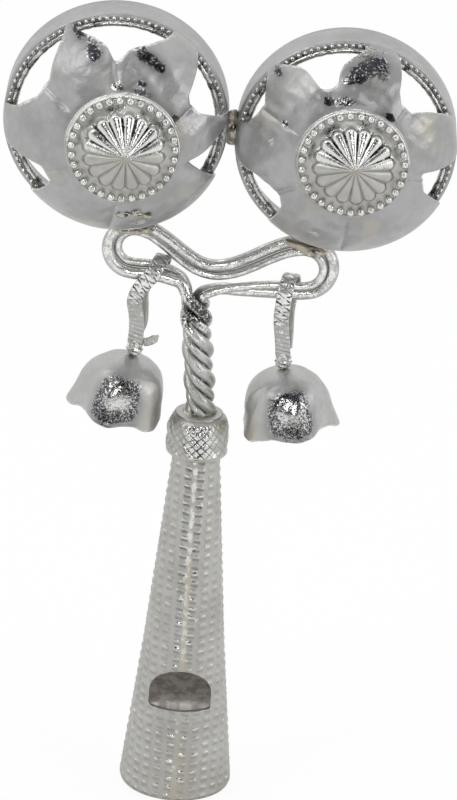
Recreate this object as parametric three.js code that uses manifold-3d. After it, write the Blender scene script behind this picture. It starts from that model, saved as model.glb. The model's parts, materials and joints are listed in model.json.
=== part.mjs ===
// A white-metal baby rattle. Two openwork flower heads stand side by side on a bow
// of doubled wire. The four wire ends twist together into a stem, which a collar
// joins to a hollow cone handle with a whistle in its wide end. A cup-shaped bell
// hangs on a strap from the lower wires of each loop of the bow.
//
// Millimetres, +Z up. The origin is the centre of the handle's wide end, the flowers
// face -Y, and the left pieces are at -X.

import * as THREE from 'three';
import { mergeVertices } from 'three/addons/utils/BufferGeometryUtils.js';
import Module from 'manifold-3d';

const wasm = await Module();
wasm.setup();

// ---------------------------------------------------------------- dimensions

// Handle: a cone of sheet metal, wide end down.
const HANDLE_LENGTH = 53.4;
const HANDLE_END_RADIUS = 7.95;
const HANDLE_FLARE_HEIGHT = 21.7;
const HANDLE_FLARE_RADIUS = 5.72;
const HANDLE_TOP_RADIUS = 3.05;
const HANDLE_WALL = 0.5;

// Whistle: a D-shaped window above a plug that leaves a flat windway.
const WINDOW_SILL = 13.6;
const WINDOW_HEIGHT = 6.0;
const WINDOW_WIDTH = 8.8;
const WINDWAY_HEIGHT = 0.9;
const WINDWAY_WIDTH = 6.2;
const PLUG_CLEARANCE = 0.08;

// Collar: a band with a rounded shoulder, over the top of the handle.
const COLLAR_RADIUS = 4.3;
const COLLAR_BAND = 4.9;
const COLLAR_SHOULDER = 1.3;
const COLLAR_LAP = 2.1;
const COLLAR_CLEARANCE = 0.1;
const COLLAR_SHELL = 0.7;

// Bow wire: a thick outer wire and a thin inner wire side by side.
const THICK_RADIUS = 0.85;
const THIN_RADIUS = 0.6;
const WIRE_GAP = 0.05;
const PAIR_TILT = THREE.MathUtils.degToRad(25);

// Stem: the four ends of the two wires, twisted.
const STEM_LENGTH = 17.5;
const STEM_LEAN = THREE.MathUtils.degToRad(6.2);
const STEM_OFFSET = 0.25;
const TWIST_PITCH = 9.3;
const STRAND_CLEARANCE = 0.08;
const STRAND_HIDDEN = 2.6;

// Bow: the openings of its loops and the dip of its top member, along the middle
// line of the wire pair.
const LEFT_OPENING = 3.25;
const RIGHT_OPENING = 3.8;
const LEFT_LOOP_RISE = 9.4;
const RIGHT_LOOP_RISE = 8.4;
const DIP_CLEARANCE = 0.35;
const DIP_OFFSET = 2.3;

// Heads: a hoop, a beaded rim, a flower dome and a boss on the dome.
const LEFT_HEAD_RADIUS = 15.3;
const RIGHT_HEAD_RADIUS = 15.1;
const HEAD_SPACE = 1.05;
const HEADS_MIDDLE = 1.75;
const LEFT_HEAD_LEAN = THREE.MathUtils.degToRad(12.4);
const RIGHT_HEAD_LEAN = THREE.MathUtils.degToRad(15.2);
const LEFT_PETAL_TURN = THREE.MathUtils.degToRad(-1);
const RIGHT_PETAL_TURN = THREE.MathUtils.degToRad(7);
const HOOP_DEPTH = 5.2;
const HOOP_WALL = 0.6;
const RIM_WIDTH = 1.4;
const RIM_THICKNESS = 0.5;
const SEAT_GAP = 0.2;

// Flower: petals cut from a dome, as shares of the head's own radius.
const PETALS = 6;
const DOME_DEPTH = 0.7;
const NOTCH = 0.72;
const TIP_HALF_ANGLE = THREE.MathUtils.degToRad(8);
const GAP_SHARPNESS = 0.45;
const PETAL_FALL = 0.07;
const FLOWER_WALL = 0.5;
const LAY_GAP = 0.05;

// Boss: a beaded disc with a fluted cone, as shares of the head's own radius.
const BOSS_SHARE = 0.51;
const ROSETTE_SHARE = 0.37;
const ROSETTE_RISE = 1.9;
const BOSS_EDGE = 0.45;
const FLUTES = 16;

// Bells: cups with a wavy mouth, on straps.
const BELL_HEIGHT = 8.2;
const BELL_RADIUS = 6.65;
const BELL_WALL = 0.5;
const BELL_LOBES = 5;
const CROWN_THINNING = 0.12;
const LEFT_BELL_TILT = THREE.MathUtils.degToRad(4.5);
const RIGHT_BELL_TILT = THREE.MathUtils.degToRad(-8);
const LEFT_BELL_FLARE = 0.06;
const RIGHT_BELL_FLARE = 0;
const KNOT_HEIGHT = 1.8;
const KNOT_RADIUS = 1.15;
const LEFT_STRAP_DROP = 11.0;
const RIGHT_STRAP_DROP = 9.8;
const STRAP_WIDTH = 2.1;
const STRAP_THICKNESS = 0.45;
const STRAP_YAW = THREE.MathUtils.degToRad(14);
const STRAP_CLEARANCE = 0.28;
const LEG_GAP = 0.3;
const LEFT_BELL_CLEAR = -1.257;
const RIGHT_BELL_CLEAR = 0.264;
const TAIL_LENGTH = 2.6;

// Solder at the joints of the heads.
const SOLDER_GAP = 0.06;

// ---------------------------------------------------------------- geometry tools

const v3 = (x, y, z) => new THREE.Vector3(x, y, z);

/** Signed volume of a closed indexed geometry. */
function signedVolume(geometry) {
  const p = geometry.getAttribute('position');
  const index = geometry.getIndex();
  const [a, b, c] = [v3(0, 0, 0), v3(0, 0, 0), v3(0, 0, 0)];
  let sum = 0;
  for (let i = 0; i < index.count; i += 3) {
    a.fromBufferAttribute(p, index.getX(i));
    b.fromBufferAttribute(p, index.getX(i + 1));
    c.fromBufferAttribute(p, index.getX(i + 2));
    sum += a.dot(b.cross(c)) / 6;
  }
  return sum;
}

/** Merges a geometry to shared vertices and turns its faces outwards. */
function closed(geometry) {
  const bare = new THREE.BufferGeometry();
  bare.setAttribute('position', geometry.getAttribute('position').clone());
  bare.setIndex(geometry.getIndex());
  const merged = mergeVertices(bare, 1e-4);
  const old = Array.from(merged.getIndex().array);
  const kept = [];
  for (let i = 0; i < old.length; i += 3) {
    const [a, b, c] = old.slice(i, i + 3);
    if (a !== b && b !== c && c !== a) kept.push(a, b, c);
  }
  merged.setIndex(kept);
  if (signedVolume(merged) < 0) {
    for (let i = 0; i < kept.length; i += 3) [kept[i], kept[i + 1]] = [kept[i + 1], kept[i]];
    merged.setIndex(kept);
  }
  return merged;
}

/** A manifold solid from a closed geometry. */
function solid(geometry) {
  const g = closed(geometry);
  return new wasm.Manifold(new wasm.Mesh({
    numProp: 3,
    vertProperties: new Float32Array(g.getAttribute('position').array),
    triVerts: new Uint32Array(g.getIndex().array),
  }));
}

/** The largest body of a manifold solid, as a geometry. */
function geometryOf(manifold) {
  const bodies = manifold.decompose();
  bodies.sort((a, b) => b.volume() - a.volume());
  const mesh = bodies[0].getMesh();
  const g = new THREE.BufferGeometry();
  g.setAttribute('position', new THREE.BufferAttribute(new Float32Array(mesh.vertProperties), 3));
  g.setIndex(Array.from(mesh.triVerts));
  return g;
}

/** Revolves a closed profile of [radius, height] pairs about the Z axis. */
function revolve(profile, segments) {
  const points = [...profile, profile[0]].map(([r, h]) => new THREE.Vector2(r, h));
  return closed(new THREE.LatheGeometry(points, segments).rotateX(Math.PI / 2));
}

/**
 * A closed shell between two surfaces of (u, angle) that share a pole at u = 0 and
 * are joined by a strip at u = 1.
 */
function shellBetween(front, back, rings, sectors) {
  const positions = [];
  const index = [];
  for (const surface of [front, back]) {
    positions.push(...surface(0, 0).toArray());
    for (let i = 1; i <= rings; i++) {
      for (let j = 0; j < sectors; j++) {
        positions.push(...surface(i / rings, (2 * Math.PI * j) / sectors).toArray());
      }
    }
  }
  const side = 1 + rings * sectors;
  const at = (s, i, j) => s * side + (i === 0 ? 0 : 1 + (i - 1) * sectors + (j % sectors));
  for (let j = 0; j < sectors; j++) {
    for (let i = 0; i < rings; i++) {
      for (const s of [0, 1]) {
        const quad = [at(s, i, j), at(s, i + 1, j), at(s, i + 1, j + 1), at(s, i, j + 1)];
        if (s) quad.reverse();
        if (i > 0) index.push(quad[0], quad[1], quad[2], quad[0], quad[2], quad[3]);
        else if (s) index.push(quad[1], quad[2], quad[3]);
        else index.push(quad[0], quad[1], quad[2]);
      }
    }
    const [f0, f1] = [at(0, rings, j), at(0, rings, j + 1)];
    const [b0, b1] = [at(1, rings, j), at(1, rings, j + 1)];
    index.push(f0, b0, f1, f1, b0, b1);
  }
  const g = new THREE.BufferGeometry();
  g.setAttribute('position', new THREE.Float32BufferAttribute(positions, 3));
  g.setIndex(index);
  return closed(g);
}

/** The surface moved by a distance along its inward normal. */
function offsetInward(surface, distance) {
  const e = 1e-3;
  return (u, angle) => {
    const lift = Math.max(u, e);
    const here = surface(u, angle);
    const du = surface(lift, angle).sub(surface(lift - e, angle));
    const da = surface(lift, angle + e).sub(surface(lift, angle));
    const normal = du.cross(da).normalize();
    if (u < e) normal.set(0, 0, 1);
    return here.addScaledVector(normal, -distance);
  };
}

/** A round wire along a list of points. */
function wireAlong(points, radius, sides, stepLength) {
  const curve = new THREE.CatmullRomCurve3(points, false, 'centripetal');
  const corners = Array.from({ length: sides }, (_, k) => {
    const a = (2 * Math.PI * k) / sides;
    return new THREE.Vector2(radius * Math.cos(a), radius * Math.sin(a));
  });
  curve.arcLengthDivisions = 1200;
  return closed(new THREE.ExtrudeGeometry(new THREE.Shape(corners), {
    steps: Math.round(curve.getLength() / stepLength),
    extrudePath: curve,
    bevelEnabled: false,
  }));
}

/** A flat strip through stations {point, normal}, of the given width and thickness. */
function stripAlong(stations, thickness) {
  const positions = [];
  const index = [];
  const last = stations.length - 1;
  stations.forEach(({ point, normal, width }, i) => {
    const ahead = stations[Math.min(i + 1, last)].point;
    const behind = stations[Math.max(i - 1, 0)].point;
    const run = ahead.clone().sub(behind).normalize();
    const across = normal.clone().cross(run).normalize().multiplyScalar(width / 2);
    const out = run.clone().cross(across).normalize().multiplyScalar(thickness / 2);
    for (const [a, o] of [[1, 1], [1, -1], [-1, -1], [-1, 1]]) {
      positions.push(...point.clone().addScaledVector(across, a).addScaledVector(out, o).toArray());
    }
    if (i === last) return;
    for (let k = 0; k < 4; k++) {
      const [p, q] = [4 * i + k, 4 * i + ((k + 1) % 4)];
      index.push(p, q, q + 4, p, q + 4, p + 4);
    }
  });
  index.push(0, 2, 1, 0, 3, 2);
  const e = 4 * last;
  index.push(e, e + 1, e + 2, e, e + 2, e + 3);
  const g = new THREE.BufferGeometry();
  g.setAttribute('position', new THREE.Float32BufferAttribute(positions, 3));
  g.setIndex(index);
  return closed(g);
}

/** Half a cosine wave from 0 at t = 0 to 1 at t = 1. */
const ease = (t) => (1 - Math.cos(Math.PI * THREE.MathUtils.clamp(t, 0, 1))) / 2;

// ---------------------------------------------------------------- handle and collar

/** Outer radius of the handle at a height. */
function handleRadius(z) {
  const { lerp } = THREE.MathUtils;
  if (z < HANDLE_FLARE_HEIGHT) {
    return lerp(HANDLE_END_RADIUS, HANDLE_FLARE_RADIUS, z / HANDLE_FLARE_HEIGHT);
  }
  const share = (z - HANDLE_FLARE_HEIGHT) / (HANDLE_LENGTH - HANDLE_FLARE_HEIGHT);
  return lerp(HANDLE_FLARE_RADIUS, HANDLE_TOP_RADIUS, share);
}

/** The D-shaped outline of the window: a flat sill with a round head. */
function windowCutter() {
  const half = WINDOW_WIDTH / 2;
  const straight = WINDOW_HEIGHT * 0.35;
  const outline = new THREE.Shape();
  outline.moveTo(-half, 0);
  outline.lineTo(half, 0);
  outline.lineTo(half, straight);
  outline.absellipse(0, straight, half, WINDOW_HEIGHT - straight, 0, Math.PI, false, 0);
  outline.closePath();
  const depth = HANDLE_END_RADIUS + 1;
  return new THREE.ExtrudeGeometry(outline, { depth, bevelEnabled: false, curveSegments: 8 })
    .rotateX(Math.PI / 2)
    .translate(0, 0, WINDOW_SILL);
}

function buildHandleCone() {
  const outer = [0, HANDLE_FLARE_HEIGHT, HANDLE_LENGTH].map((z) => [handleRadius(z), z]);
  const inner = outer.map(([r, z]) => [r - HANDLE_WALL, z]).reverse();
  return geometryOf(solid(revolve([...outer, ...inner], 40)).subtract(solid(windowCutter())));
}

function buildPlug() {
  const inside = (z) => handleRadius(z) - HANDLE_WALL - PLUG_CLEARANCE;
  const top = Math.min(WINDOW_SILL, HANDLE_FLARE_HEIGHT);
  const body = revolve([[0, 0], [inside(0), 0], [inside(top), top], [0, top]], 40);
  const reach = HANDLE_END_RADIUS;
  const windway = new THREE.BoxGeometry(WINDWAY_WIDTH, reach, 2 * WINDOW_SILL + 2);
  windway.translate(0, -inside(top) * Math.cos(Math.asin(WINDWAY_WIDTH / 2 / inside(top)))
    + WINDWAY_HEIGHT - reach / 2, WINDOW_SILL);
  return geometryOf(solid(body).subtract(solid(windway)));
}

const strandPitchRadius = 0.9 * (THICK_RADIUS + THIN_RADIUS + STRAND_CLEARANCE)
  * Math.hypot(1, 0.22);
const collarFoot = HANDLE_LENGTH - COLLAR_LAP;
const collarTop = collarFoot + COLLAR_BAND + COLLAR_SHOULDER;

/** The collar: a thick band that fits over the handle, closed by a holed shoulder. */
function buildCollar() {
  const hole = strandPitchRadius + THICK_RADIUS + STEM_OFFSET
    + (COLLAR_SHOULDER + 1) * Math.tan(STEM_LEAN) + COLLAR_CLEARANCE;
  const lap = [collarFoot, HANDLE_LENGTH + 0.2];
  const bore = lap.map((z) => handleRadius(Math.min(z, HANDLE_LENGTH)) + COLLAR_CLEARANCE);
  const shoulderFoot = collarFoot + COLLAR_BAND;
  const shoulder = [0, 0.25, 0.5, 0.75, 1].map((t) => [
    hole + 0.25 + (COLLAR_RADIUS - hole - 0.25) * Math.cos((t * Math.PI) / 2),
    shoulderFoot + COLLAR_SHOULDER * Math.sin((t * Math.PI) / 2),
  ]);
  const chamber = COLLAR_RADIUS - COLLAR_SHELL;
  return revolve([
    [bore[0], lap[0]],
    [COLLAR_RADIUS - 0.3, collarFoot],
    [COLLAR_RADIUS, collarFoot + 0.35],
    ...shoulder,
    [hole, collarTop],
    [hole, shoulderFoot + 0.2],
    [chamber, shoulderFoot - 0.2],
    [chamber, lap[1] + 0.3],
    [bore[1], lap[1]],
  ], 36);
}

// ---------------------------------------------------------------- bow and stem

const stemTop = v3(
  STEM_OFFSET - STEM_LENGTH * Math.tan(STEM_LEAN), 0, collarTop + STEM_LENGTH,
);
const pairDistance = THICK_RADIUS + THIN_RADIUS + WIRE_GAP;
const pairWidth = 2 * (THICK_RADIUS + THIN_RADIUS) + WIRE_GAP;
const thickOffset = pairWidth / 2 - THICK_RADIUS;
const thinOffset = pairDistance - thickOffset;
const pairRadius = pairWidth / 2;

/** Places a head and the top of the loop that carries it. */
function placeHead(side, radius, lean, rise) {
  const reach = radius + pairRadius + SEAT_GAP;
  return { side, radius, lean, reach, z: stemTop.z + rise + reach * Math.cos(lean) };
}

const leftHead = placeHead(-1, LEFT_HEAD_RADIUS, LEFT_HEAD_LEAN, LEFT_LOOP_RISE);
const rightHead = placeHead(1, RIGHT_HEAD_RADIUS, RIGHT_HEAD_LEAN, RIGHT_LOOP_RISE);
const headDistance = LEFT_HEAD_RADIUS + RIGHT_HEAD_RADIUS + HEAD_SPACE;
const headSpread = Math.sqrt(headDistance ** 2 - (leftHead.z - rightHead.z) ** 2);
for (const head of [leftHead, rightHead]) {
  head.x = HEADS_MIDDLE + (head.side * headSpread) / 2;
  head.loopX = head.x - head.side * head.reach * Math.sin(head.lean);
  head.loopZ = head.z - head.reach * Math.cos(head.lean);
}

const dip = {
  x: stemTop.x + DIP_OFFSET,
  z: stemTop.z + pairWidth + DIP_CLEARANCE + 0.55,
};

/** The middle line of the wire pair, from the stem round both loops and back. */
function bowMiddle() {
  const points = [];
  const loop = (head, opening) => {
    const h = opening + pairWidth;
    const centre = { x: head.loopX + head.side * 0.1, z: head.loopZ - h / 2 };
    return { h, centre };
  };
  const left = loop(leftHead, LEFT_OPENING);
  const right = loop(rightHead, RIGHT_OPENING);
  const across = (from, to, t) => ({
    x: from.x + (to.x - from.x) * t,
    z: from.z + (to.z - from.z) * ease(t),
  });
  const footL = { x: left.centre.x, z: left.centre.z - left.h / 2 };
  const footR = { x: right.centre.x, z: right.centre.z - right.h / 2 };
  const leaveL = { x: stemTop.x - 2.0, z: stemTop.z + 1.9 };
  const leaveR = { x: stemTop.x + 3.6, z: stemTop.z + 1.05 };
  for (const t of [0, 0.18, 0.42, 0.7]) {
    points.push({ x: leaveL.x + (footL.x - leaveL.x) * t, z: leaveL.z + (footL.z - leaveL.z)
      * (1 - (1 - t) ** 3) });
  }
  for (let k = 0; k <= 6; k++) {
    const a = -Math.PI / 2 - (Math.PI * k) / 6;
    points.push({ x: left.centre.x + (left.h / 2) * Math.cos(a),
      z: left.centre.z + (left.h / 2) * Math.sin(a) });
  }
  const topL = { x: left.centre.x, z: left.centre.z + left.h / 2 };
  const topR = { x: right.centre.x, z: right.centre.z + right.h / 2 };
  for (const t of [0.2, 0.4, 0.6, 0.8, 1]) points.push(across(topL, dip, t));
  for (const t of [0.2, 0.4, 0.6, 0.8]) points.push(across(dip, topR, t));
  for (let k = 0; k <= 6; k++) {
    const a = Math.PI / 2 - (Math.PI * k) / 6;
    points.push({ x: right.centre.x + (right.h / 2) * Math.cos(a),
      z: right.centre.z + (right.h / 2) * Math.sin(a) });
  }
  for (const t of [0.3, 0.58, 0.82, 1]) {
    points.push({ x: footR.x + (leaveR.x - footR.x) * t, z: footR.z + (leaveR.z - footR.z)
      * t ** 1.9 });
  }
  return points;
}

const middle = bowMiddle();

/** One strand of the stem, from the top down, at a starting angle. */
function strand(startAngle) {
  const length = STEM_LENGTH + STRAND_HIDDEN;
  const steps = Math.round((length / TWIST_PITCH) * 12);
  return Array.from({ length: steps + 1 }, (_, k) => {
    const down = (length * k) / steps;
    const angle = startAngle + (2 * Math.PI * down) / TWIST_PITCH;
    return v3(
      stemTop.x + Math.min(down, STEM_LENGTH) * Math.tan(STEM_LEAN)
        + strandPitchRadius * Math.cos(angle),
      strandPitchRadius * Math.sin(angle),
      stemTop.z - down,
    );
  });
}

/**
 * One wire of the pair. Its sense is +1 on the outside of the loops and -1 on the
 * inside; the pair rolls from front to back along the bow.
 */
function bowWirePoints(sense, offset) {
  const n = middle.length;
  const along = middle.map((p, i) => {
    const a = middle[Math.max(i - 1, 0)];
    const b = middle[Math.min(i + 1, n - 1)];
    const length = Math.hypot(b.x - a.x, b.z - a.z);
    const outward = { x: -(b.z - a.z) / length, z: (b.x - a.x) / length };
    const t = i / (n - 1);
    const endRoll = Math.max(1 - t / 0.09, 0) + Math.max(1 - (1 - t) / 0.09, 0);
    const swing = 1 - 2 * ease((t - 0.35) / 0.3);
    const roll = swing * (PAIR_TILT + (Math.PI / 2 - PAIR_TILT) * 0.75 * endRoll);
    return v3(
      p.x + sense * offset * outward.x * Math.cos(roll),
      -sense * offset * Math.sin(roll),
      p.z + sense * offset * outward.z * Math.cos(roll),
    );
  });
  const [front, back] = sense > 0 ? [-135, 45] : [135, -45];
  const { degToRad } = THREE.MathUtils;
  return [...strand(degToRad(front)).reverse(), ...along, ...strand(degToRad(back))];
}

const thickPoints = bowWirePoints(1, thickOffset);
const thinPoints = bowWirePoints(-1, thinOffset);
const buildThickWire = (extra = 0) => wireAlong(thickPoints, THICK_RADIUS + extra, 8, 1.05);
const buildThinWire = (extra = 0) => wireAlong(thinPoints, THIN_RADIUS + extra, 6, 1.05);

// ---------------------------------------------------------------- heads

/** Share of the radius that the petal outline reaches at an angle from its centre. */
function petalReach(fromCentre) {
  const half = Math.PI / PETALS;
  const open = (half - fromCentre) / (half - TIP_HALF_ANGLE);
  return fromCentre <= TIP_HALF_ANGLE ? 1 : NOTCH + (1 - NOTCH) * Math.max(open, 0) ** GAP_SHARPNESS;
}

/** Angle from the nearest petal's centre. */
function fromPetal(angle, turn) {
  const step = (2 * Math.PI) / PETALS;
  const a = (((angle - turn) % step) + step) % step;
  return Math.min(a, step - a);
}

/** Height of the flower's surface above the rim, at a share of the head's radius. */
function domeHeight(radius, share, angle, turn) {
  const half = Math.PI / PETALS;
  const across = fromPetal(angle, turn) / half;
  const onset = THREE.MathUtils.smoothstep(share, BOSS_SHARE, NOTCH);
  const fade = 1 - THREE.MathUtils.smoothstep(share, 0.82, 1);
  const fall = PETAL_FALL * radius * onset * fade * across ** 3;
  return DOME_DEPTH * radius * Math.sqrt(Math.max(1 - share ** 2, 0)) - fall + LAY_GAP;
}

function buildFlower(radius, turn) {
  const surface = (u, sweep) => {
    const angle = sweep + turn;
    const share = u * petalReach(fromPetal(angle, turn));
    return v3(
      share * radius * Math.cos(angle), share * radius * Math.sin(angle),
      domeHeight(radius, share, angle, turn),
    );
  };
  return shellBetween(surface, offsetInward(surface, FLOWER_WALL), 7, 72);
}

function buildHoop(radius) {
  const inner = radius - HOOP_WALL;
  const back = -RIM_THICKNESS - HOOP_DEPTH;
  return revolve([
    [radius, -RIM_THICKNESS], [radius, back], [inner, back], [inner, -RIM_THICKNESS],
  ], 48);
}

function buildRim(radius) {
  const inner = radius - RIM_WIDTH;
  return revolve([[inner, -RIM_THICKNESS], [radius, -RIM_THICKNESS], [radius, 0], [inner, 0]], 48);
}

function buildBoss(radius, turn) {
  const edge = BOSS_SHARE * radius;
  const rosette = ROSETTE_SHARE * radius;
  const base = (r, angle) => domeHeight(radius, r / radius, angle, turn) + LAY_GAP;
  const back = (u, angle) => {
    const r = u * edge;
    return v3(r * Math.cos(angle), r * Math.sin(angle), base(r, angle));
  };
  const front = (u, angle) => {
    const r = u * edge;
    const inside = Math.max(1 - r / rosette, 0);
    const flute = 0.16 * Math.cos(FLUTES * angle) * Math.min(inside * 4, 1) * (r / rosette);
    const border = BOSS_EDGE * (u < 1 ? 1.5 : 1);
    return v3(
      r * Math.cos(angle), r * Math.sin(angle),
      base(r, angle) + border + (ROSETTE_RISE - 0.4) * inside + flute,
    );
  };
  return shellBetween(front, back, 5, 48);
}

// ---------------------------------------------------------------- bells and straps

/** The point and direction of the lower bow member where a bell hangs. */
function hangPoint(x) {
  let best = null;
  for (let i = 0; i + 1 < middle.length; i++) {
    const [a, b] = [middle[i], middle[i + 1]];
    const t = (x - a.x) / (b.x - a.x);
    if (t < 0 || t > 1) continue;
    const z = a.z + (b.z - a.z) * t;
    if (best && z > best.z) continue;
    best = { x, z, slope: Math.atan2(b.z - a.z, b.x - a.x) };
  }
  const slope = Math.abs(best.slope) > Math.PI / 2
    ? best.slope - Math.sign(best.slope) * Math.PI : best.slope;
  return { x: best.x, z: best.z, slope };
}

/** Where a strap of the given drop hangs, so that its bell clears the collar's side by the named amount. */
function hangBeside(side, drop, clear) {
  const beside = side * (COLLAR_RADIUS + BELL_RADIUS + clear);
  let hang = hangPoint(beside);
  for (let pass = 0; pass < 6; pass++) hang = hangPoint(beside - drop * Math.sin(hang.slope));
  return hang;
}

/** A strap: up the front, over the wires and down the back. Its origin is the wires. */
function buildStrap(length, tail) {
  const inner = pairRadius + STRAP_CLEARANCE + (STRAP_WIDTH / 2) * Math.tan(STRAP_YAW) * 0.8;
  const r = inner + STRAP_THICKNESS / 2;
  const foot = (LEG_GAP + STRAP_THICKNESS) / 2;
  const stations = [];
  const leg = (t) => foot + (r - foot) * (1 - t ** 1.5);
  const add = (x, y, z, normal, width = STRAP_WIDTH) => {
    stations.push({ point: v3(x, y, z), normal, width });
  };
  const legSteps = [1, 0.8, 0.6, 0.4, 0.2];
  const drop = length - (tail ? 2 : 1);
  for (const t of legSteps) add(0, -leg(t), -length * t, v3(0, -1, 0));
  for (let k = 0; k <= 8; k++) {
    const a = Math.PI - (Math.PI * k) / 8;
    add(0, r * Math.cos(a), r * Math.sin(a), v3(0, Math.cos(a), Math.sin(a)));
  }
  for (const t of [...legSteps].reverse()) add(0, leg(t), -drop * t, v3(0, 1, 0));
  if (tail) {
    const bend = STRAP_WIDTH * 0.6;
    add(bend * 0.3, foot, -drop - bend * 0.62, v3(0, 1, 0), STRAP_WIDTH * 0.55);
    add(bend, foot, -drop - bend, v3(0, 1, 0), STRAP_WIDTH * 0.36);
    add(bend + TAIL_LENGTH * 0.55, foot, -drop - bend + TAIL_LENGTH * 0.28, v3(0, 1, 0),
      STRAP_WIDTH * 0.52);
    add(bend + TAIL_LENGTH, foot, -drop - bend + TAIL_LENGTH * 0.5, v3(0, 1, 0),
      STRAP_WIDTH * 0.34);
  }
  return stripAlong(stations, STRAP_THICKNESS);
}

/** The bell's outer surface: a domed cup with lobes. Its origin is its crown. */
function bellSurface(outSide, flare) {
  const profile = new THREE.CatmullRomCurve3([
    v3(0, 0, 0), v3(0.26, 0, -0.025), v3(0.52, 0, -0.11), v3(0.75, 0, -0.28),
    v3(0.88, 0, -0.5), v3(0.93, 0, -0.72), v3(1, 0, -1),
  ], false, 'centripetal');
  return (u, angle) => {
    const p = profile.getPoint(u);
    const wave = Math.cos(BELL_LOBES * (outSide > 0 ? angle : angle - Math.PI));
    const r = BELL_RADIUS * p.x * (1 + 0.05 * wave * u * u);
    const lean = 1 + flare * outSide * Math.cos(angle) * u;
    return v3(
      r * lean * Math.cos(angle), r * lean * Math.sin(angle),
      BELL_HEIGHT * p.z - 0.35 * wave * u ** 4,
    );
  };
}

function buildBell(outSide, flare) {
  const surface = bellSurface(outSide, flare);
  return shellBetween(surface, offsetInward(surface, BELL_WALL), 7, 40);
}

/** The faceted lump of folded metal and solder between a strap and its bell. */
function buildKnot() {
  const r = KNOT_RADIUS;
  return revolve([
    [0, 0], [r * 0.62, 0], [r, KNOT_HEIGHT * 0.45], [r * 0.7, KNOT_HEIGHT * 0.92],
    [0, KNOT_HEIGHT],
  ], 8);
}

// ---------------------------------------------------------------- solder

/** A blob of solder with half-sizes, at a point. */
function blob(centre, half) {
  return solid(new THREE.SphereGeometry(1, 16, 10).scale(...half).translate(...centre.toArray()));
}

/** The space that a head's hoop fills, with the solder's gap round it. */
function hoopSpace(head) {
  const disc = new THREE.CylinderGeometry(
    head.radius + SOLDER_GAP, head.radius + SOLDER_GAP, 3 * HOOP_DEPTH, 48,
  );
  return solid(disc.translate(head.x, 0, head.z));
}

function buildBridge() {
  const t = (LEFT_HEAD_RADIUS + HEAD_SPACE / 2) / headDistance;
  const centre = v3(
    leftHead.x + (rightHead.x - leftHead.x) * t, 0, leftHead.z + (rightHead.z - leftHead.z) * t,
  );
  return geometryOf(blob(centre, [1.5, 2.0, 2.6])
    .subtract(hoopSpace(leftHead)).subtract(hoopSpace(rightHead)));
}

function buildSeat(head, length) {
  const contact = v3(head.loopX, 0, head.loopZ + pairRadius + SEAT_GAP / 2);
  return geometryOf(blob(contact, [length, 1.9, 1.15])
    .subtract(hoopSpace(head))
    .subtract(solid(buildThickWire(SOLDER_GAP)))
    .subtract(solid(buildThinWire(SOLDER_GAP))));
}

// ---------------------------------------------------------------- assembly

const silver = new THREE.MeshStandardMaterial({ color: 0xc9c8c6, roughness: 0.28, metalness: 1 });
const frosted = new THREE.MeshStandardMaterial({ color: 0xbdbcba, roughness: 0.5, metalness: 1 });
const bright = new THREE.MeshStandardMaterial({ color: 0xd6d5d2, roughness: 0.15, metalness: 1 });
const solderMetal = new THREE.MeshStandardMaterial({
  color: 0xb7b2a2, roughness: 0.45, metalness: 1,
});

const rattle = new THREE.Group();

function addPiece(parent, name, geometry, material) {
  const mesh = new THREE.Mesh(geometry, material);
  mesh.name = name;
  mesh.geometry.computeVertexNormals();
  parent.add(mesh);
  return mesh;
}

addPiece(rattle, 'handle_cone', buildHandleCone(), silver);
addPiece(rattle, 'whistle_plug', buildPlug(), silver);
addPiece(rattle, 'collar', buildCollar(), frosted);
addPiece(rattle, 'bow_wire_outer', buildThickWire(), silver);
addPiece(rattle, 'bow_wire_inner', buildThinWire(), silver);

for (const [name, head, turn] of [
  ['left_head', leftHead, LEFT_PETAL_TURN], ['right_head', rightHead, RIGHT_PETAL_TURN],
]) {
  const group = new THREE.Group();
  group.position.set(head.x, -(HOOP_DEPTH / 2 + RIM_THICKNESS), head.z);
  group.rotation.x = Math.PI / 2;
  rattle.add(group);
  addPiece(group, `${name}_hoop`, buildHoop(head.radius), silver);
  addPiece(group, `${name}_rim`, buildRim(head.radius), bright);
  addPiece(group, `${name}_flower`, buildFlower(head.radius, turn), frosted);
  addPiece(group, `${name}_boss`, buildBoss(head.radius, turn), bright);
}

addPiece(rattle, 'heads_solder', buildBridge(), solderMetal);
addPiece(rattle, 'left_seat_solder', buildSeat(leftHead, 3.8), solderMetal);
addPiece(rattle, 'right_seat_solder', buildSeat(rightHead, 3.8), solderMetal);

for (const [name, clear, length, tilt, flare, outSide] of [
  ['left', LEFT_BELL_CLEAR, LEFT_STRAP_DROP, LEFT_BELL_TILT, LEFT_BELL_FLARE, -1],
  ['right', RIGHT_BELL_CLEAR, RIGHT_STRAP_DROP, RIGHT_BELL_TILT, RIGHT_BELL_FLARE, 1],
]) {
  const knotDrop = length + LAY_GAP + KNOT_HEIGHT;
  const bellDrop = knotDrop + LAY_GAP + CROWN_THINNING;
  const hang = hangBeside(outSide, bellDrop, clear);
  const hanger = new THREE.Group();
  hanger.position.set(hang.x, 0, hang.z);
  hanger.rotation.y = -hang.slope;
  rattle.add(hanger);
  addPiece(hanger, `${name}_strap`, buildStrap(length, outSide < 0), bright)
    .rotation.z = -STRAP_YAW;
  const knot = addPiece(hanger, `${name}_knot`, buildKnot(), solderMetal);
  knot.position.z = -knotDrop;
  const bell = addPiece(hanger, `${name}_bell`, buildBell(outSide, flare), silver);
  bell.position.z = -bellDrop;
  bell.rotation.y = tilt;
}

export default rattle;
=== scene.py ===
"""A silver baby rattle: a whistle handle, a twisted wire bow, two flower heads and two hanging bells.

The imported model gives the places. Each class below makes one sub-assembly: it works out its surfaces with
numpy, in millimetres, and dresses them in a procedural silver finish.
"""

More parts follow.
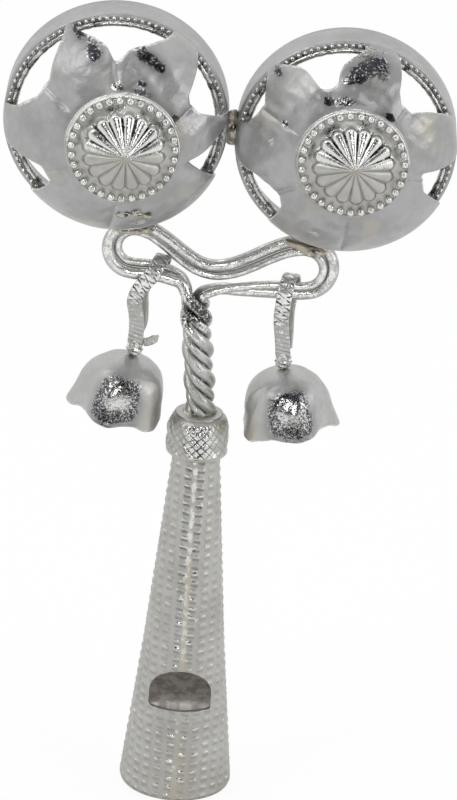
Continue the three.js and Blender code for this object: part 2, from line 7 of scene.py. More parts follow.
import json  # noqa: E402
import logging  # noqa: E402
import math  # noqa: E402
from collections.abc import Callable  # noqa: E402
from dataclasses import dataclass  # noqa: E402
from enum import Enum  # noqa: E402

import bpy  # noqa: E402
import numpy as np  # noqa: E402
from mathutils import Matrix, Vector  # noqa: E402

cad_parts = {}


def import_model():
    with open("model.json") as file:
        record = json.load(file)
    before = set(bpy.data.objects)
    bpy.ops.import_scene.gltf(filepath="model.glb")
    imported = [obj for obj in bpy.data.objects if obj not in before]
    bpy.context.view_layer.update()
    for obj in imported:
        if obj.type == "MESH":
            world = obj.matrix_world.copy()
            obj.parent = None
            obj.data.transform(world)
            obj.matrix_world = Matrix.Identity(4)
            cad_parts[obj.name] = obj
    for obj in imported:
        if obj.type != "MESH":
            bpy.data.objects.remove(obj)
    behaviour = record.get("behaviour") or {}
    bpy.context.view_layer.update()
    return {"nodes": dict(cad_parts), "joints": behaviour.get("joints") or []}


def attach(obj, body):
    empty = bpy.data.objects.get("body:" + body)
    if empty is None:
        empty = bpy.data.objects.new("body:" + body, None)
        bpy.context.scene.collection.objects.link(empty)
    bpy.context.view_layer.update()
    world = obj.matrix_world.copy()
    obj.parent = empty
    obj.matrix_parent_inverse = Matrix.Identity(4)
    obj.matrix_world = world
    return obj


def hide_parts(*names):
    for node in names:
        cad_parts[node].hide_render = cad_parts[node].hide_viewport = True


log = logging.getLogger("rattle")

MM = 0.001
TAU = 2 * math.pi
FRONT = -math.pi / 2
SATIN, BEADED, BRIGHT, SOLDER = "satin_silver", "beaded_silver", "bright_silver", "solder"


class Body(Enum):
    """The bodies that the joints move."""

    RATTLE = "rattle"
    LEFT_HANGER = "left_bell_hanger"
    RIGHT_HANGER = "right_bell_hanger"


# ---------------------------------------------------------------- array helpers


def ease(x: np.ndarray | float, low: float, high: float) -> np.ndarray:
    """Smooth step: 3t^2 - 2t^3 of t, which is x's share of the way from low to high.

    Args:
        x: values.
        low: where the step starts, value 0.
        high: where it ends, value 1.

    Returns:
        The step at each value.
    """
    t = np.clip((np.asarray(x, float) - low) / (high - low), 0, 1)
    return t * t * (3 - 2 * t)


def bell(x: np.ndarray, centre: float, width: float) -> np.ndarray:
    """A soft bump: exp of minus the squared distance from centre in widths."""
    return np.exp(-(((x - centre) / width) ** 2))


def turn_gap(a: np.ndarray, b: float) -> np.ndarray:
    """The signed angle from b to a, wrapped to half a turn each way."""
    return (a - b + math.pi) % TAU - math.pi


def unit(v: np.ndarray) -> np.ndarray:
    """Vectors of length 1 along v's last axis."""
    return v / np.maximum(np.linalg.norm(v, axis=-1, keepdims=True), 1e-12)


def turns(count: int) -> np.ndarray:
    """Equal steps round a full turn, without its end."""
    return np.linspace(0, TAU, count, endpoint=False)


def polar(r: np.ndarray | float, angle: np.ndarray, z: np.ndarray | float) -> np.ndarray:
    """Points from distance, direction and height, in the shape that the three share, with x, y and z last."""
    return np.stack(np.broadcast_arrays(r * np.cos(angle), r * np.sin(angle), z), -1)


def ball(rings: int, sectors: int, pole_gap: float) -> np.ndarray:
    """Directions over a ball, in rings that stop short of both poles by the gap's angle."""
    lat = np.linspace(pole_gap, math.pi - pole_gap, rings)[:, None]
    return polar(np.sin(lat), turns(sectors)[None, :], np.cos(lat))


def superellipse(v: np.ndarray, power: float) -> np.ndarray:
    """The power of v's size, with v's sign, which squares up a circle's sine or cosine."""
    return np.sign(v) * np.abs(v) ** power


def sway(t: np.ndarray) -> np.ndarray:
    """Half a cosine wave that rises from 0 to 1 as t does."""
    return (1 - np.cos(math.pi * t)) / 2


def add_object(name: str, data: bpy.types.ID) -> bpy.types.Object:
    """Makes an object of the data and links it to the scene."""
    obj = bpy.data.objects.new(name, data)
    bpy.context.scene.collection.objects.link(obj)
    return obj


def smooth_path(points: np.ndarray, step: float) -> np.ndarray:
    """A curve through points: a centripetal Catmull-Rom spline, sampled at equal steps.

    Each span is the cubic a + bt + ct^2 + dt^3 through its two points, with tangents from its neighbours
    weighted by the square root of their distances.

    Args:
        points: (n, 3) points.
        step: about how far apart the samples are.

    Returns:
        (m, 3) samples.
    """
    p = np.vstack([2 * points[0] - points[1], points, 2 * points[-1] - points[-2]])
    d = np.maximum(np.sqrt(np.linalg.norm(np.diff(p, axis=0), axis=1)), 1e-4)[:, None]
    x0, x1, x2, x3 = p[:-3], p[1:-2], p[2:-1], p[3:]
    d0, d1, d2 = d[:-2], d[1:-1], d[2:]
    a = ((x1 - x0) / d0 - (x2 - x0) / (d0 + d1) + (x2 - x1) / d1) * d1
    b = ((x2 - x1) / d1 - (x3 - x1) / (d1 + d2) + (x3 - x2) / d2) * d1
    t = np.linspace(0, 1, 24, endpoint=False)[None, :, None]
    x1, x2, a, b = (v[:, None, :] for v in (x1, x2, a, b))
    curve = x1 + a * t + (3 * (x2 - x1) - 2 * a - b) * t**2 + (2 * (x1 - x2) + a + b) * t**3
    curve = np.vstack([curve.reshape(-1, 3), points[-1:]])
    run = np.concatenate([[0], np.cumsum(np.linalg.norm(np.diff(curve, axis=0), axis=1))])
    at = np.linspace(0, run[-1], max(int(run[-1] / step), 2) + 1)
    return np.stack([np.interp(at, run, curve[:, k]) for k in range(3)], axis=1)


@dataclass
class Skin:
    """A closed surface in millimetres.

    It holds its vertices and faces, each vertex's burnish, warmth and darkness, and which faces are inner ones.
    Those take the second finish where a piece has two. The darkness is mostly painted shade and painted dark
    reflection.
    """

    verts: np.ndarray
    quads: np.ndarray
    tris: np.ndarray
    burnish: np.ndarray
    warm: np.ndarray
    dark: np.ndarray
    inner: np.ndarray

    @classmethod
    def from_rows(
        cls,
        rows: np.ndarray,
        closed: bool = False,
        burnish: np.ndarray | None = None,
        warm: np.ndarray | None = None,
        dark: np.ndarray | None = None,
        inner_from: int | None = None,
    ) -> "Skin":
        """A surface from rings of points, each ring joined to the next and round itself.

        Args:
            rows: (rings, sectors, 3) points. Where the rings aren't closed, the first and last are poles.
            closed: whether the last ring joins the first.
            burnish: (rings, sectors) burnish, or None for none.
            warm: (rings, sectors) warmth, or None for none.
            dark: (rings, sectors) darkness, or None for none.
            inner_from: the ring from which faces take the second finish.

        Returns:
            The surface, with its faces outwards.
        """
        rings, sectors = rows.shape[:2]
        zero = np.zeros((rings, sectors))
        looks = [zero if v is None else np.broadcast_to(v, zero.shape) for v in (burnish, warm, dark)]
        index = np.arange(rings * sectors).reshape(rings, sectors)
        a = index if closed else index[:-1]
        b = np.roll(index, -1, axis=0) if closed else index[1:]
        quads = np.stack([a, b, np.roll(b, -1, 1), np.roll(a, -1, 1)], axis=-1).reshape(-1, 4)
        ring_of = np.repeat(np.arange(len(a)), sectors)
        verts = rows.reshape(-1, 3)
        tris = np.zeros((0, 3), int)
        if not closed:
            first, last = len(verts), len(verts) + 1
            verts = np.vstack([verts, rows[0].mean(0), rows[-1].mean(0)])
            top, foot = index[0], index[-1]
            caps = (first, top, np.roll(top, -1)), (last, np.roll(foot, -1), foot)
            tris = np.vstack([np.stack([np.full(sectors, pole), one, two], 1) for pole, one, two in caps])
            looks = [np.append(v.ravel(), [v[0].mean(), v[-1].mean()]) for v in looks]
        inner = np.zeros(len(quads) + len(tris), bool)
        if inner_from is not None:
            inner[: len(quads)] = ring_of >= inner_from
            inner[len(quads) + sectors :] = not closed
        return cls(verts, quads, tris, *(v.ravel() for v in looks), inner).outward()

    def outward(self) -> "Skin":
        """Turns the faces round if the surface's signed volume is less than nothing."""
        corners = np.vstack([self.quads[:, [0, 1, 2]], self.quads[:, [0, 2, 3]], self.tris])
        a, b, c = (self.verts[corners[:, k]] for k in range(3))
        if np.einsum("ij,ij->i", a, np.cross(b, c)).sum() < 0:
            self.quads, self.tris = self.quads[:, ::-1], self.tris[:, ::-1]
        return self

    @staticmethod
    def join(parts: list["Skin"]) -> "Skin":
        """One surface that holds all the parts."""
        start = np.concatenate([[0], np.cumsum([len(p.verts) for p in parts])])
        inner = [p.inner[: len(p.quads)] for p in parts] + [p.inner[len(p.quads) :] for p in parts]
        return Skin(
            np.vstack([p.verts for p in parts]),
            *(np.vstack([getattr(p, kind) + s for p, s in zip(parts, start)]) for kind in ("quads", "tris")),
            *(np.concatenate([getattr(p, look) for p in parts]) for look in ("burnish", "warm", "dark")),
            np.concatenate(inner),
        )

    def placed(self, matrix: Matrix) -> "Skin":
        """The surface moved by a 4x4 matrix, in millimetres."""
        m = np.array(matrix)
        self.verts = self.verts @ m[:3, :3].T + m[:3, 3]
        return self

    def piece(
        self,
        name: str,
        body: Body,
        materials: list[bpy.types.Material],
        nodes: tuple[str, ...],
        slot: str,
        smooth: bool = True,
    ) -> bpy.types.Object:
        """Makes the Blender object, which stands for CAD nodes and rides on a body.

        Args:
            name: the piece's name.
            body: what it rides on.
            materials: its finish, and the inner faces' finish if there are two.
            nodes: the CAD nodes that it stands for.
            slot: the record's material slot; not used.
            smooth: whether its faces are shaded smooth.

        Returns:
            The object.
        """
        mesh = bpy.data.meshes.new(name)
        nq, nt = len(self.quads), len(self.tris)
        mesh.vertices.add(len(self.verts))
        mesh.vertices.foreach_set("co", (self.verts * MM).astype(np.float32).ravel())
        mesh.loops.add(nq * 4 + nt * 3)
        loops = np.concatenate([self.quads.ravel(), self.tris.ravel()]).astype(np.int32)
        mesh.loops.foreach_set("vertex_index", loops)
        mesh.polygons.add(nq + nt)
        starts = np.concatenate([np.arange(nq) * 4, nq * 4 + np.arange(nt) * 3]).astype(np.int32)
        mesh.polygons.foreach_set("loop_start", starts)
        mesh.polygons.foreach_set("use_smooth", np.full(nq + nt, smooth))
        for material in materials:
            mesh.materials.append(material)
        if len(materials) > 1:
            mesh.polygons.foreach_set("material_index", self.inner.astype(np.int32))
        for look in ("burnish", "warm", "dark"):
            values = getattr(self, look).astype(np.float32)
            mesh.attributes.new(look, "FLOAT", "POINT").data.foreach_set("value", values)
        mesh.update(calc_edges=True)
        obj = add_object(name, mesh)
        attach(obj, body.value)
        if nodes:
            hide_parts(*nodes)
        log.info("%s: %d faces", name, nq + nt)
        return obj


def shell(front: np.ndarray, wall: float, burnish: np.ndarray, warm: np.ndarray, dark: np.ndarray) -> Skin:
    """A sheet with a rounded edge from its front surface.

    The back is the front moved inwards along its normals by the wall, with the front's looks at each place. The
    edge is half a circle between them.

    Args:
        front: (rings, sectors, 3) points from the middle outwards.
        wall: the sheet's thickness.
        burnish: the front's burnish.
        warm: the front's warmth.
        dark: the front's darkness.

    Returns:
        The closed sheet.
    """
    along = np.gradient(front, axis=0)
    around = np.roll(front, -1, 1) - np.roll(front, 1, 1)
    normal = unit(np.cross(along, around))
    normal[0] = unit(normal[1].mean(0))
    normal = normal * np.sign(normal[:1, :1, 2:3].mean() or 1)
    edge, tangent = normal[-1], unit(front[-1] - front[-2])
    mid = front[-1] - edge * wall / 2
    angles = np.linspace(0, math.pi, 7)[1:-1, None, None]
    lip = mid + (wall / 2) * (np.cos(angles) * edge + np.sin(angles) * tangent)
    back = (front - normal * wall)[::-1]
    rows = np.concatenate([front, lip, back])
    looks = [np.broadcast_to(v, front.shape[:2]) for v in (burnish, warm, dark)]
    looks = [np.concatenate([v, np.repeat(v[-1:], 5, 0), v[::-1]]) for v in looks]
    return Skin.from_rows(rows, False, *looks, inner_from=len(front) + 5)


def dents(x: np.ndarray, y: np.ndarray, size: float, seed: int) -> np.ndarray:
    """Soft dents: a quarter of the sum of eight seeded plane sine waves in x and y, about size apart."""
    rng = np.random.default_rng(seed)
    total = np.zeros(np.broadcast(x, y).shape)
    for turn, scale, phase in rng.uniform(0, 1, (8, 3)):
        k = TAU / size / (0.6 + 0.9 * scale)
        total += np.sin(k * (x * math.cos(TAU * turn) + y * math.sin(TAU * turn)) + TAU * phase)
    return total / 4


def revolve(profile: np.ndarray, sectors: int) -> np.ndarray:
    """Rings of a turned piece: each (radius, height) of the profile swept round Z."""
    return polar(profile[:, 0, None], turns(sectors), profile[:, 1, None])


def tube(path: np.ndarray, size: float, sides: int, reference: tuple[float, float, float]) -> np.ndarray:
    """Rings of a round wire: circles about the path, square to its tangent, with domed ends.

    Args:
        path: (n, 3) centre line.
        size: its radius.
        sides: points in a circle.
        reference: a direction that the wire never runs along.

    Returns:
        (n, sides, 3) rings.
    """
    run = np.concatenate([[0], np.cumsum(np.linalg.norm(np.diff(path, axis=0), axis=1))])
    ends = np.minimum(run, run[-1] - run) / size
    radius = size * np.sqrt(1 - (1 - np.clip(ends, 0.03, 1)) ** 2)
    tangent = unit(np.gradient(path, axis=0))
    ref = np.array(reference)
    side = unit(ref - tangent * (tangent @ ref)[:, None])
    up = np.cross(tangent, side)
    a = turns(sides)[None, :, None]
    ring = np.cos(a) * side[:, None] + np.sin(a) * up[:, None]
    return path[:, None] + radius[:, None, None] * ring


def lump(centre: np.ndarray, half: tuple[float, float, float], seed: int, rough: float) -> Skin:
    """A lump of solder: an ellipsoid whose radius swells with a sum of five seeded waves over its directions.

    Args:
        centre: its middle.
        half: its half sizes.
        seed: picks the waves.
        rough: the waves' share of the radius.

    Returns:
        The lump.
    """
    rng = np.random.default_rng(seed)
    d = ball(22, 36, 0.06)
    wave = lambda: np.sin(d @ unit(rng.normal(size=3)) * rng.uniform(3, 9) + rng.uniform(0, 6))  # noqa: E731
    waves = sum(wave() for _ in range(5))
    rows = centre + d * np.array(half) * (1 + rough * waves[..., None] / 2)
    return Skin.from_rows(rows, False, 0.35 + 0.25 * waves / 2, 0.5, 0.2 + 0.25 * waves)


# ---------------------------------------------------------------- shader helpers


def maths(operation: str, swapped: bool = False) -> Callable[["Sock", "Sock | float"], "Sock"]:
    """An operator's method, which joins its two values with a Math node.

    Args:
        operation: what the Math node does.
        swapped: whether the socket is the second value, as in a reflected operator.

    Returns:
        The method.
    """

    def method(self: "Sock", other: "Sock | float") -> "Sock":
        """Adds the Math node."""
        pair = (other, self) if swapped else (self, other)
        return self.net.node("ShaderNodeMath", {"operation": operation}, dict(enumerate(pair)))

    return method


class Sock:
    """A node's output, with the operators that the finishes use."""

    def __init__(self, net: "Net", socket: bpy.types.NodeSocket | None) -> None:
        """Wraps a socket of the net's tree."""
        self.net, self.socket = net, socket

    __add__, __radd__ = maths("ADD"), maths("ADD", True)
    __sub__, __rsub__ = maths("SUBTRACT"), maths("SUBTRACT", True)
    __mul__, __rmul__ = maths("MULTIPLY"), maths("MULTIPLY", True)

    def step(self, low: float, high: float, start: float = 0.0, end: float = 1.0) -> "Sock":
        """A smooth step from start at low to end at high."""
        values = {0: self, 1: low, 2: high, 3: start, 4: end}
        return self.net.node("ShaderNodeMapRange", {"interpolation_type": "SMOOTHSTEP"}, values)


class Net:
    """A material's or a world's nodes."""

    def __init__(self, tree: bpy.types.NodeTree) -> None:
        """Empties the tree."""
        self.tree = tree
        tree.nodes.clear()

    def node(
        self, kind: str, settings: dict | None = None, inputs: dict | None = None, out: int | str = 0
    ) -> Sock:
        """Adds a node.

        Args:
            kind: its type.
            settings: its own settings, such as a Math node's operation.
            inputs: a value or a link for each input, by name or place.
            out: the output that is returned.

        Returns:
            The output.
        """
        node = self.tree.nodes.new(kind)
        for key, value in (settings or {}).items():
            setattr(node, key, value)
        for key, value in (inputs or {}).items():
            if isinstance(value, Sock):
                self.tree.links.new(value.socket, node.inputs[key])
            else:
                node.inputs[key].default_value = value
        return Sock(self, node.outputs[out] if len(node.outputs) else None)

    def attribute(self, name: str) -> Sock:
        """The value of a mesh attribute."""
        return self.node("ShaderNodeAttribute", {"attribute_name": name}, out="Fac")

    def blend(self, share: Sock | float, low: Sock | tuple, high: Sock | tuple) -> Sock:
        """A colour between two, by share. A plain colour is given without its alpha."""
        low, high = (v if isinstance(v, Sock) else (*v, 1) for v in (low, high))
        return self.node("ShaderNodeMix", {"data_type": "RGBA"}, {0: share, 6: low, 7: high}, 2)

    def noise(self, where: Sock, size_mm: float, detail: float = 2.0, rough: float = 0.5) -> Sock:
        """Noise whose features are about size_mm across."""
        inputs = {"Vector": where, "Scale": 1 / (size_mm * MM), "Detail": detail, "Roughness": rough}
        return self.node("ShaderNodeTexNoise", {}, inputs)

    def towards(self, where: Sock, direction: Vector | tuple[float, float, float]) -> Sock:
        """The cosine of the angle between a direction and where's."""
        inputs = {0: where, 1: tuple(direction)}
        return self.node("ShaderNodeVectorMath", {"operation": "DOT_PRODUCT"}, inputs, "Value")

    def finish(self, inputs: dict) -> None:
        """Adds the Principled shader with these inputs, and the material's output."""
        shader = self.node("ShaderNodeBsdfPrincipled", {}, inputs)
        self.node("ShaderNodeOutputMaterial", {}, {"Surface": shader})


def new_material(name: str) -> tuple[bpy.types.Material, Net]:
    """An empty material and its nodes."""
    material = bpy.data.materials.new(name)
    material.use_nodes = True
    return material, Net(material.node_tree)


@dataclass(frozen=True)
class Silver:
    """A silver finish: matt frosted metal, with burnished places where the burnish attribute is high.

    The dark attribute adds painted shade to the frost and grains of painted dark reflection to the polish.
    """

    name: str
    frost: tuple[float, float, float] = (0.435, 0.437, 0.44)
    polish: tuple[float, float, float] = (0.74, 0.74, 0.72)
    warm: tuple[float, float, float] = (0.55, 0.50, 0.385)
    shade: tuple[float, float, float] = (0.355, 0.355, 0.35)
    # the near-black colour of painted shade and painted dark reflections
    painted_dark: tuple[float, float, float] = (0.035, 0.036, 0.042)
    share: float = 0.0
    frost_roughness: float = 0.36
    polish_roughness: float = 0.13
    frost_metal: float = 0.8
    grain_mm: float = 0.22
    grain_height: float = 0.010
    swell_mm: float = 1.3
    swell_height: float = 0.025
    speck_mm: float = 0.36
    patch_mm: float = 1.1
    cloud_mm: float = 5.0
    spread: float = 0.5

    def make(self) -> bpy.types.Material:
        """Builds the material.

        Returns:
            A material whose frost and polish share the surface by burnish plus noise, with a bump of fine grain
            on broad swells.
        """
        material, net = new_material(self.name)
        where = net.node("ShaderNodeTexCoord", out="Object")
        burnish, warmth, dark = (net.attribute(look) for look in ("burnish", "warm", "dark"))
        grain = net.noise(where, self.grain_mm, 2.5, 0.6)
        patch = net.noise(where, self.patch_mm, 4.0, 0.65)
        cloud = net.noise(where, self.cloud_mm, 2.0)
        swell = net.noise(where, self.swell_mm, 1.0)
        level = burnish + self.share + (patch - 0.5) * self.spread * 1.8
        level = level + (grain - 0.5) * self.spread * 1.4
        mask = level.step(0.38, 0.66)
        # speck: grains of painted dark reflection in the polish, denser where the dark attribute is high
        speck = (net.noise(where, self.speck_mm, 4.0, 0.7) + (dark - 0.5) * 0.42).step(0.40, 0.60)
        mottle = (cloud * 0.6 + patch * 0.4).step(0.36, 0.64)
        frost = net.blend(mottle, self.frost, self.shade)
        # painted shade: the dark attribute darkens the frost towards the near-black colour
        frost = net.blend(dark * 0.55, frost, self.painted_dark)
        base = net.blend(mask, frost, net.blend(speck, self.polish, self.painted_dark))
        tint = (warmth + (cloud - 0.5) * 0.7 * warmth.step(0.0, 0.2)).step(0.15, 1.0)
        base = net.blend(tint * 0.85, base, self.warm)
        roughness = self.frost_roughness - mask * (self.frost_roughness - self.polish_roughness)
        roughness = roughness + (grain - 0.5) * 0.2
        metal = self.frost_metal + mask * (1 - self.frost_metal)
        relief = swell * (self.swell_height * 4) + grain * (self.grain_height * 4)
        bump = net.node("ShaderNodeBump", {}, {"Strength": 1.0, "Distance": MM, "Height": relief})
        net.finish({"Base Color": base, "Metallic": metal, "Roughness": roughness, "Normal": bump})
        return material


@dataclass(frozen=True)
class Bore:
    """The dull, streaked inside of the handle."""

    name: str = "bore_silver"
    light: tuple[float, float, float] = (1.0, 0.97, 0.91)
    dark: tuple[float, float, float] = (0.58, 0.53, 0.51)
    streak_mm: float = 1.5

    def make(self) -> bpy.types.Material:
        """Builds the material.

        Returns:
            A metal with streaks along the handle: noise that is stretched ten times along Z.
        """
        material, net = new_material(self.name)
        where = net.node("ShaderNodeTexCoord", out="Object")
        flat = net.node("ShaderNodeMapping", {}, {"Vector": where, "Scale": (1.0, 1.0, 0.08)})
        streak = net.noise(flat, self.streak_mm, 3.0, 0.6)
        base = net.blend(streak.step(0.38, 0.62), self.dark, self.light)
        net.finish({"Base Color": base, "Metallic": 0.1, "Roughness": 0.34 + streak * 0.1})
        return material


# ---------------------------------------------------------------- handle


@dataclass
class Handle:
    """The conical whistle handle and its collar."""

    length: float = 53.4
    end_radius: float = 7.95
    flare_height: float = 21.7
    flare_radius: float = 5.72
    top_radius: float = 3.05
    wall: float = 0.5
    sill: float = 13.6
    window_height: float = 6.0
    window_width: float = 8.8
    row_pitch: float = 1.30
    column_pitch: float = 1.76
    dash_height: float = 0.13
    collar_foot: float = 51.3
    collar_radius: float = 4.3
    collar_band: float = 4.9
    collar_shoulder: float = 1.3
    collar_hole: float = 2.2

    @property
    def collar_top(self) -> float:
        """The height where the stem leaves the collar."""
        return self.collar_foot + self.collar_band + self.collar_shoulder

    def radius(self, z: np.ndarray) -> np.ndarray:
        """The cone's radius at a height: two straight tapers."""
        stops = [0, self.flare_height, self.length]
        return np.interp(z, stops, [self.end_radius, self.flare_radius, self.top_radius])

    def dashes(self, arc: np.ndarray, z: np.ndarray) -> np.ndarray:
        """The raised dashes: soft bars on a grid of rows and columns, and a low ridge down the front seam.

        Args:
            arc: distance round the surface from the front line.
            z: height.

        Returns:
            The height of the relief.
        """
        skew = z + arc * 0.03 + 0.12 * np.sin(arc * 0.9)
        column = np.abs((arc / self.column_pitch) % 1 - 0.5) * 2
        row = np.abs((skew / self.row_pitch) % 1 - 0.5) * 2
        wave = 0.5 + 0.5 * np.sin(arc * 3.1 + np.floor(skew / self.row_pitch) * 2.4)
        bar = (1 - ease(column, 0.50, 0.72)) * (1 - ease(row, 0.20, 0.50)) * (0.7 + 0.3 * wave)
        seam = 0.5 * bell(arc, 0.12 * np.sin(z * 2.1) * np.sin(z * 0.7), 0.22)
        plain = ease(z, 0.2, 0.7) * (1 - bell(arc, 0, 0.4))
        return self.dash_height * (bar * plain + seam * ease(z, self.sill + self.window_height, 22.0))

    def build_cone(self, silver: bpy.types.Material, bore: bpy.types.Material) -> None:
        """The cone: rings of the outer wall with their dashes, then the plain inner wall, cut by the window.

        Args:
            silver: the outside finish.
            bore: the inside finish.
        """
        sectors = 216
        z = np.linspace(0, self.length, 306)
        angle = turns(sectors)[None, :]
        arc = self.radius(z)[:, None] * turn_gap(angle, FRONT)
        edge = 0.18 * (1 - ease(z, 0, 0.35))[:, None]
        r = self.radius(z)[:, None] + self.dashes(arc, z[:, None]) - edge
        outer = polar(r, angle, z[:, None])
        zi = np.linspace(self.length, 0, 9)
        inner = revolve(np.stack([self.radius(zi) - self.wall, zi], 1), sectors)
        pad = np.zeros((len(zi), sectors))
        looks = [np.concatenate([look, pad]) for look in self.cone_looks(arc, z[:, None])]
        skin = Skin.from_rows(np.concatenate([outer, inner]), True, *looks, inner_from=len(z) - 1)
        obj = skin.piece("handle_shell", Body.RATTLE, [silver, bore], ("handle_cone",), SATIN)
        self.cut_window(obj)

    def cone_looks(self, arc: np.ndarray, z: np.ndarray) -> tuple[np.ndarray, np.ndarray, np.ndarray]:
        """The cone's burnish, warmth and darkness.

        The front strip is burnished on its dashes, with painted shadow lines under them, and warm along the
        seam.
        Elsewhere the upper edges of the dashes take polish as a painted highlight, over fainter painted shadow
        lines.

        Args:
            arc: distance round the surface from the front line.
            z: height.

        Returns:
            The three looks.
        """
        height = lambda rise: self.dashes(arc, z + rise) / self.dash_height  # noqa: E731
        front = ease(2.3 - np.abs(arc), 0, 0.8) * (0.55 * (z < self.sill) + ease(z, 18.5, 23))
        bars = height(0)
        # under: painted shadow below each dash; over: painted highlight along each dash's upper edge
        under = ease(height(0.42) - bars, 0.15, 0.6)
        over = ease(bars - height(0.25), 0.1, 0.5)
        burnish = 0.50 * front * (0.55 + 0.45 * bars) + (0.16 * bars + 0.34 * over) * (1 - front)
        burnish = burnish + 0.22 * bell(arc, 0, 0.35) * front
        burnish = burnish + 0.30 * dents(arc, z, 1.6, 21) * bell(arc, 0, 1.6)
        burnish = burnish + 0.25 * bars * bell(arc, 0, 4) * ease(-z, -13, -9)
        # painted shadow lines under the dashes, strongest down the front strip
        dark = under * (1.0 * front * (0.62 + 0.38 * ease(z, 24, 44)) + 0.36 * (1 - front))
        above = 0.45 + 0.55 * ease(z, self.sill, self.sill + self.window_height)
        warm = 0.55 * bell(arc, 0.1, 0.5) * (above * (0.35 + 0.65 * ease(z, 46, 30))) + 0.14
        warm = warm + 0.3 * bell(arc, 0, 5.0) * (1 - ease(z, 1, 12))
        return burnish, warm, dark

    def cut_window(self, obj: bpy.types.Object) -> None:
        """Cuts the window through the front wall: a flat sill, short sides and half an ellipse over them."""
        half, straight = self.window_width / 2, self.window_height * 0.35
        a = np.linspace(0, math.pi, 33)
        arch = np.stack([half * np.cos(a), straight + (self.window_height - straight) * np.sin(a)], 1)
        corner = np.array([[-half, 0.35], [-half + 0.4, 0.0], [half - 0.15, 0.0], [half, 0.12]])
        outline = np.vstack([arch, corner])
        depth = np.full(len(outline), -self.end_radius - 2)
        near = np.stack([outline[:, 0], depth, outline[:, 1] + self.sill], 1)
        far = near * [1, 0, 1] + [0, -0.5, 0]
        cutter = Skin.from_rows(np.stack([near, far]))
        mesh = bpy.data.meshes.new("window_cutter")
        faces = [list(map(int, q)) for q in cutter.quads] + [list(map(int, t)) for t in cutter.tris]
        mesh.from_pydata((cutter.verts * MM).tolist(), [], faces)
        tool = add_object("window_cutter", mesh)
        cut = obj.modifiers.new("window", "BOOLEAN")
        cut.operation, cut.object, cut.solver = "DIFFERENCE", tool, "EXACT"
        bpy.context.view_layer.update()
        seen = obj.evaluated_get(bpy.context.evaluated_depsgraph_get())
        made = bpy.data.meshes.new_from_object(seen)
        obj.modifiers.clear()
        obj.data = made
        bpy.data.objects.remove(tool)

    def build_collar(self, silver: bpy.types.Material) -> None:
        """The collar: a band with a rounded shoulder, whose outside carries crossed diamonds."""
        foot, top = self.collar_foot, self.collar_foot + self.collar_band
        band = np.linspace(foot + 0.25, top, 44)
        turn = np.linspace(0, math.pi / 2, 14)[1:]
        reach = self.collar_radius - self.collar_hole
        shoulder = [self.collar_hole + reach * np.cos(turn), top + self.collar_shoulder * np.sin(turn)]
        profile = np.vstack(
            [
                [[self.radius(foot) + 0.1, foot], [self.collar_radius - 0.25, foot]],
                np.stack([np.full(44, self.collar_radius), band], 1),
                np.stack(shoulder, 1),
                [[self.collar_hole - 0.1, top + 0.5], [self.radius(foot) + 0.1, top - 0.5]],
            ]
        )
        rows = revolve(profile, 288)
        angle = np.arctan2(rows[..., 1], rows[..., 0])
        z = rows[..., 2]
        u, v = angle * 22 / 2, (z - foot) * math.pi / 1.25
        groove = np.minimum(np.abs(np.sin(u + v)), np.abs(np.sin(u - v)))
        outside = (np.hypot(rows[..., 0], rows[..., 1]) > self.collar_radius - 0.9) & (z > foot + 0.1)
        live = outside * ease(z, foot + 0.35, foot + 0.8) * (1 - ease(z, top + 0.2, top + 0.8))
        cut = (1 - ease(groove, 0.08, 0.42)) * live
        rough = dents(np.cos(angle) * 4.3 + z, np.sin(angle) * 4.3 - z, 2.2, 41) * live
        relief = 0.14 * cut * (0.75 + 0.5 * rough) + 0.12 * rough
        relief = relief + 0.45 * ease(z, top - 1.3, top + 0.9) * outside
        rows = rows - polar(1, angle, 0 * z) * relief[..., None]
        gap = turn_gap(angle, FRONT)
        burnish = 0.60 * bell(gap, 0.05, 0.6) * live + (0.15 * (1 - cut) + 0.25 * rough) * live + 0.1
        # painted shade in the diamond grooves, stronger down the front, and a painted dark reflection low on
        # the front
        dark = 0.40 * cut + 0.35 * cut * bell(gap, 0.1, 0.6)
        dark = dark + 0.25 * bell(gap, 0.1, 0.35) * bell(z, foot + 2.6, 1.6)
        warm = 0.65 * bell(z, foot, 0.35) + 0.8 * bell(z, top + 0.1, 0.6) * bell(gap, 1.0, 0.5) + 0.1
        skin = Skin.from_rows(rows, True, burnish, warm, dark)
        skin.piece("collar_cap", Body.RATTLE, [silver], ("collar",), SATIN)


# ---------------------------------------------------------------- bow and stem


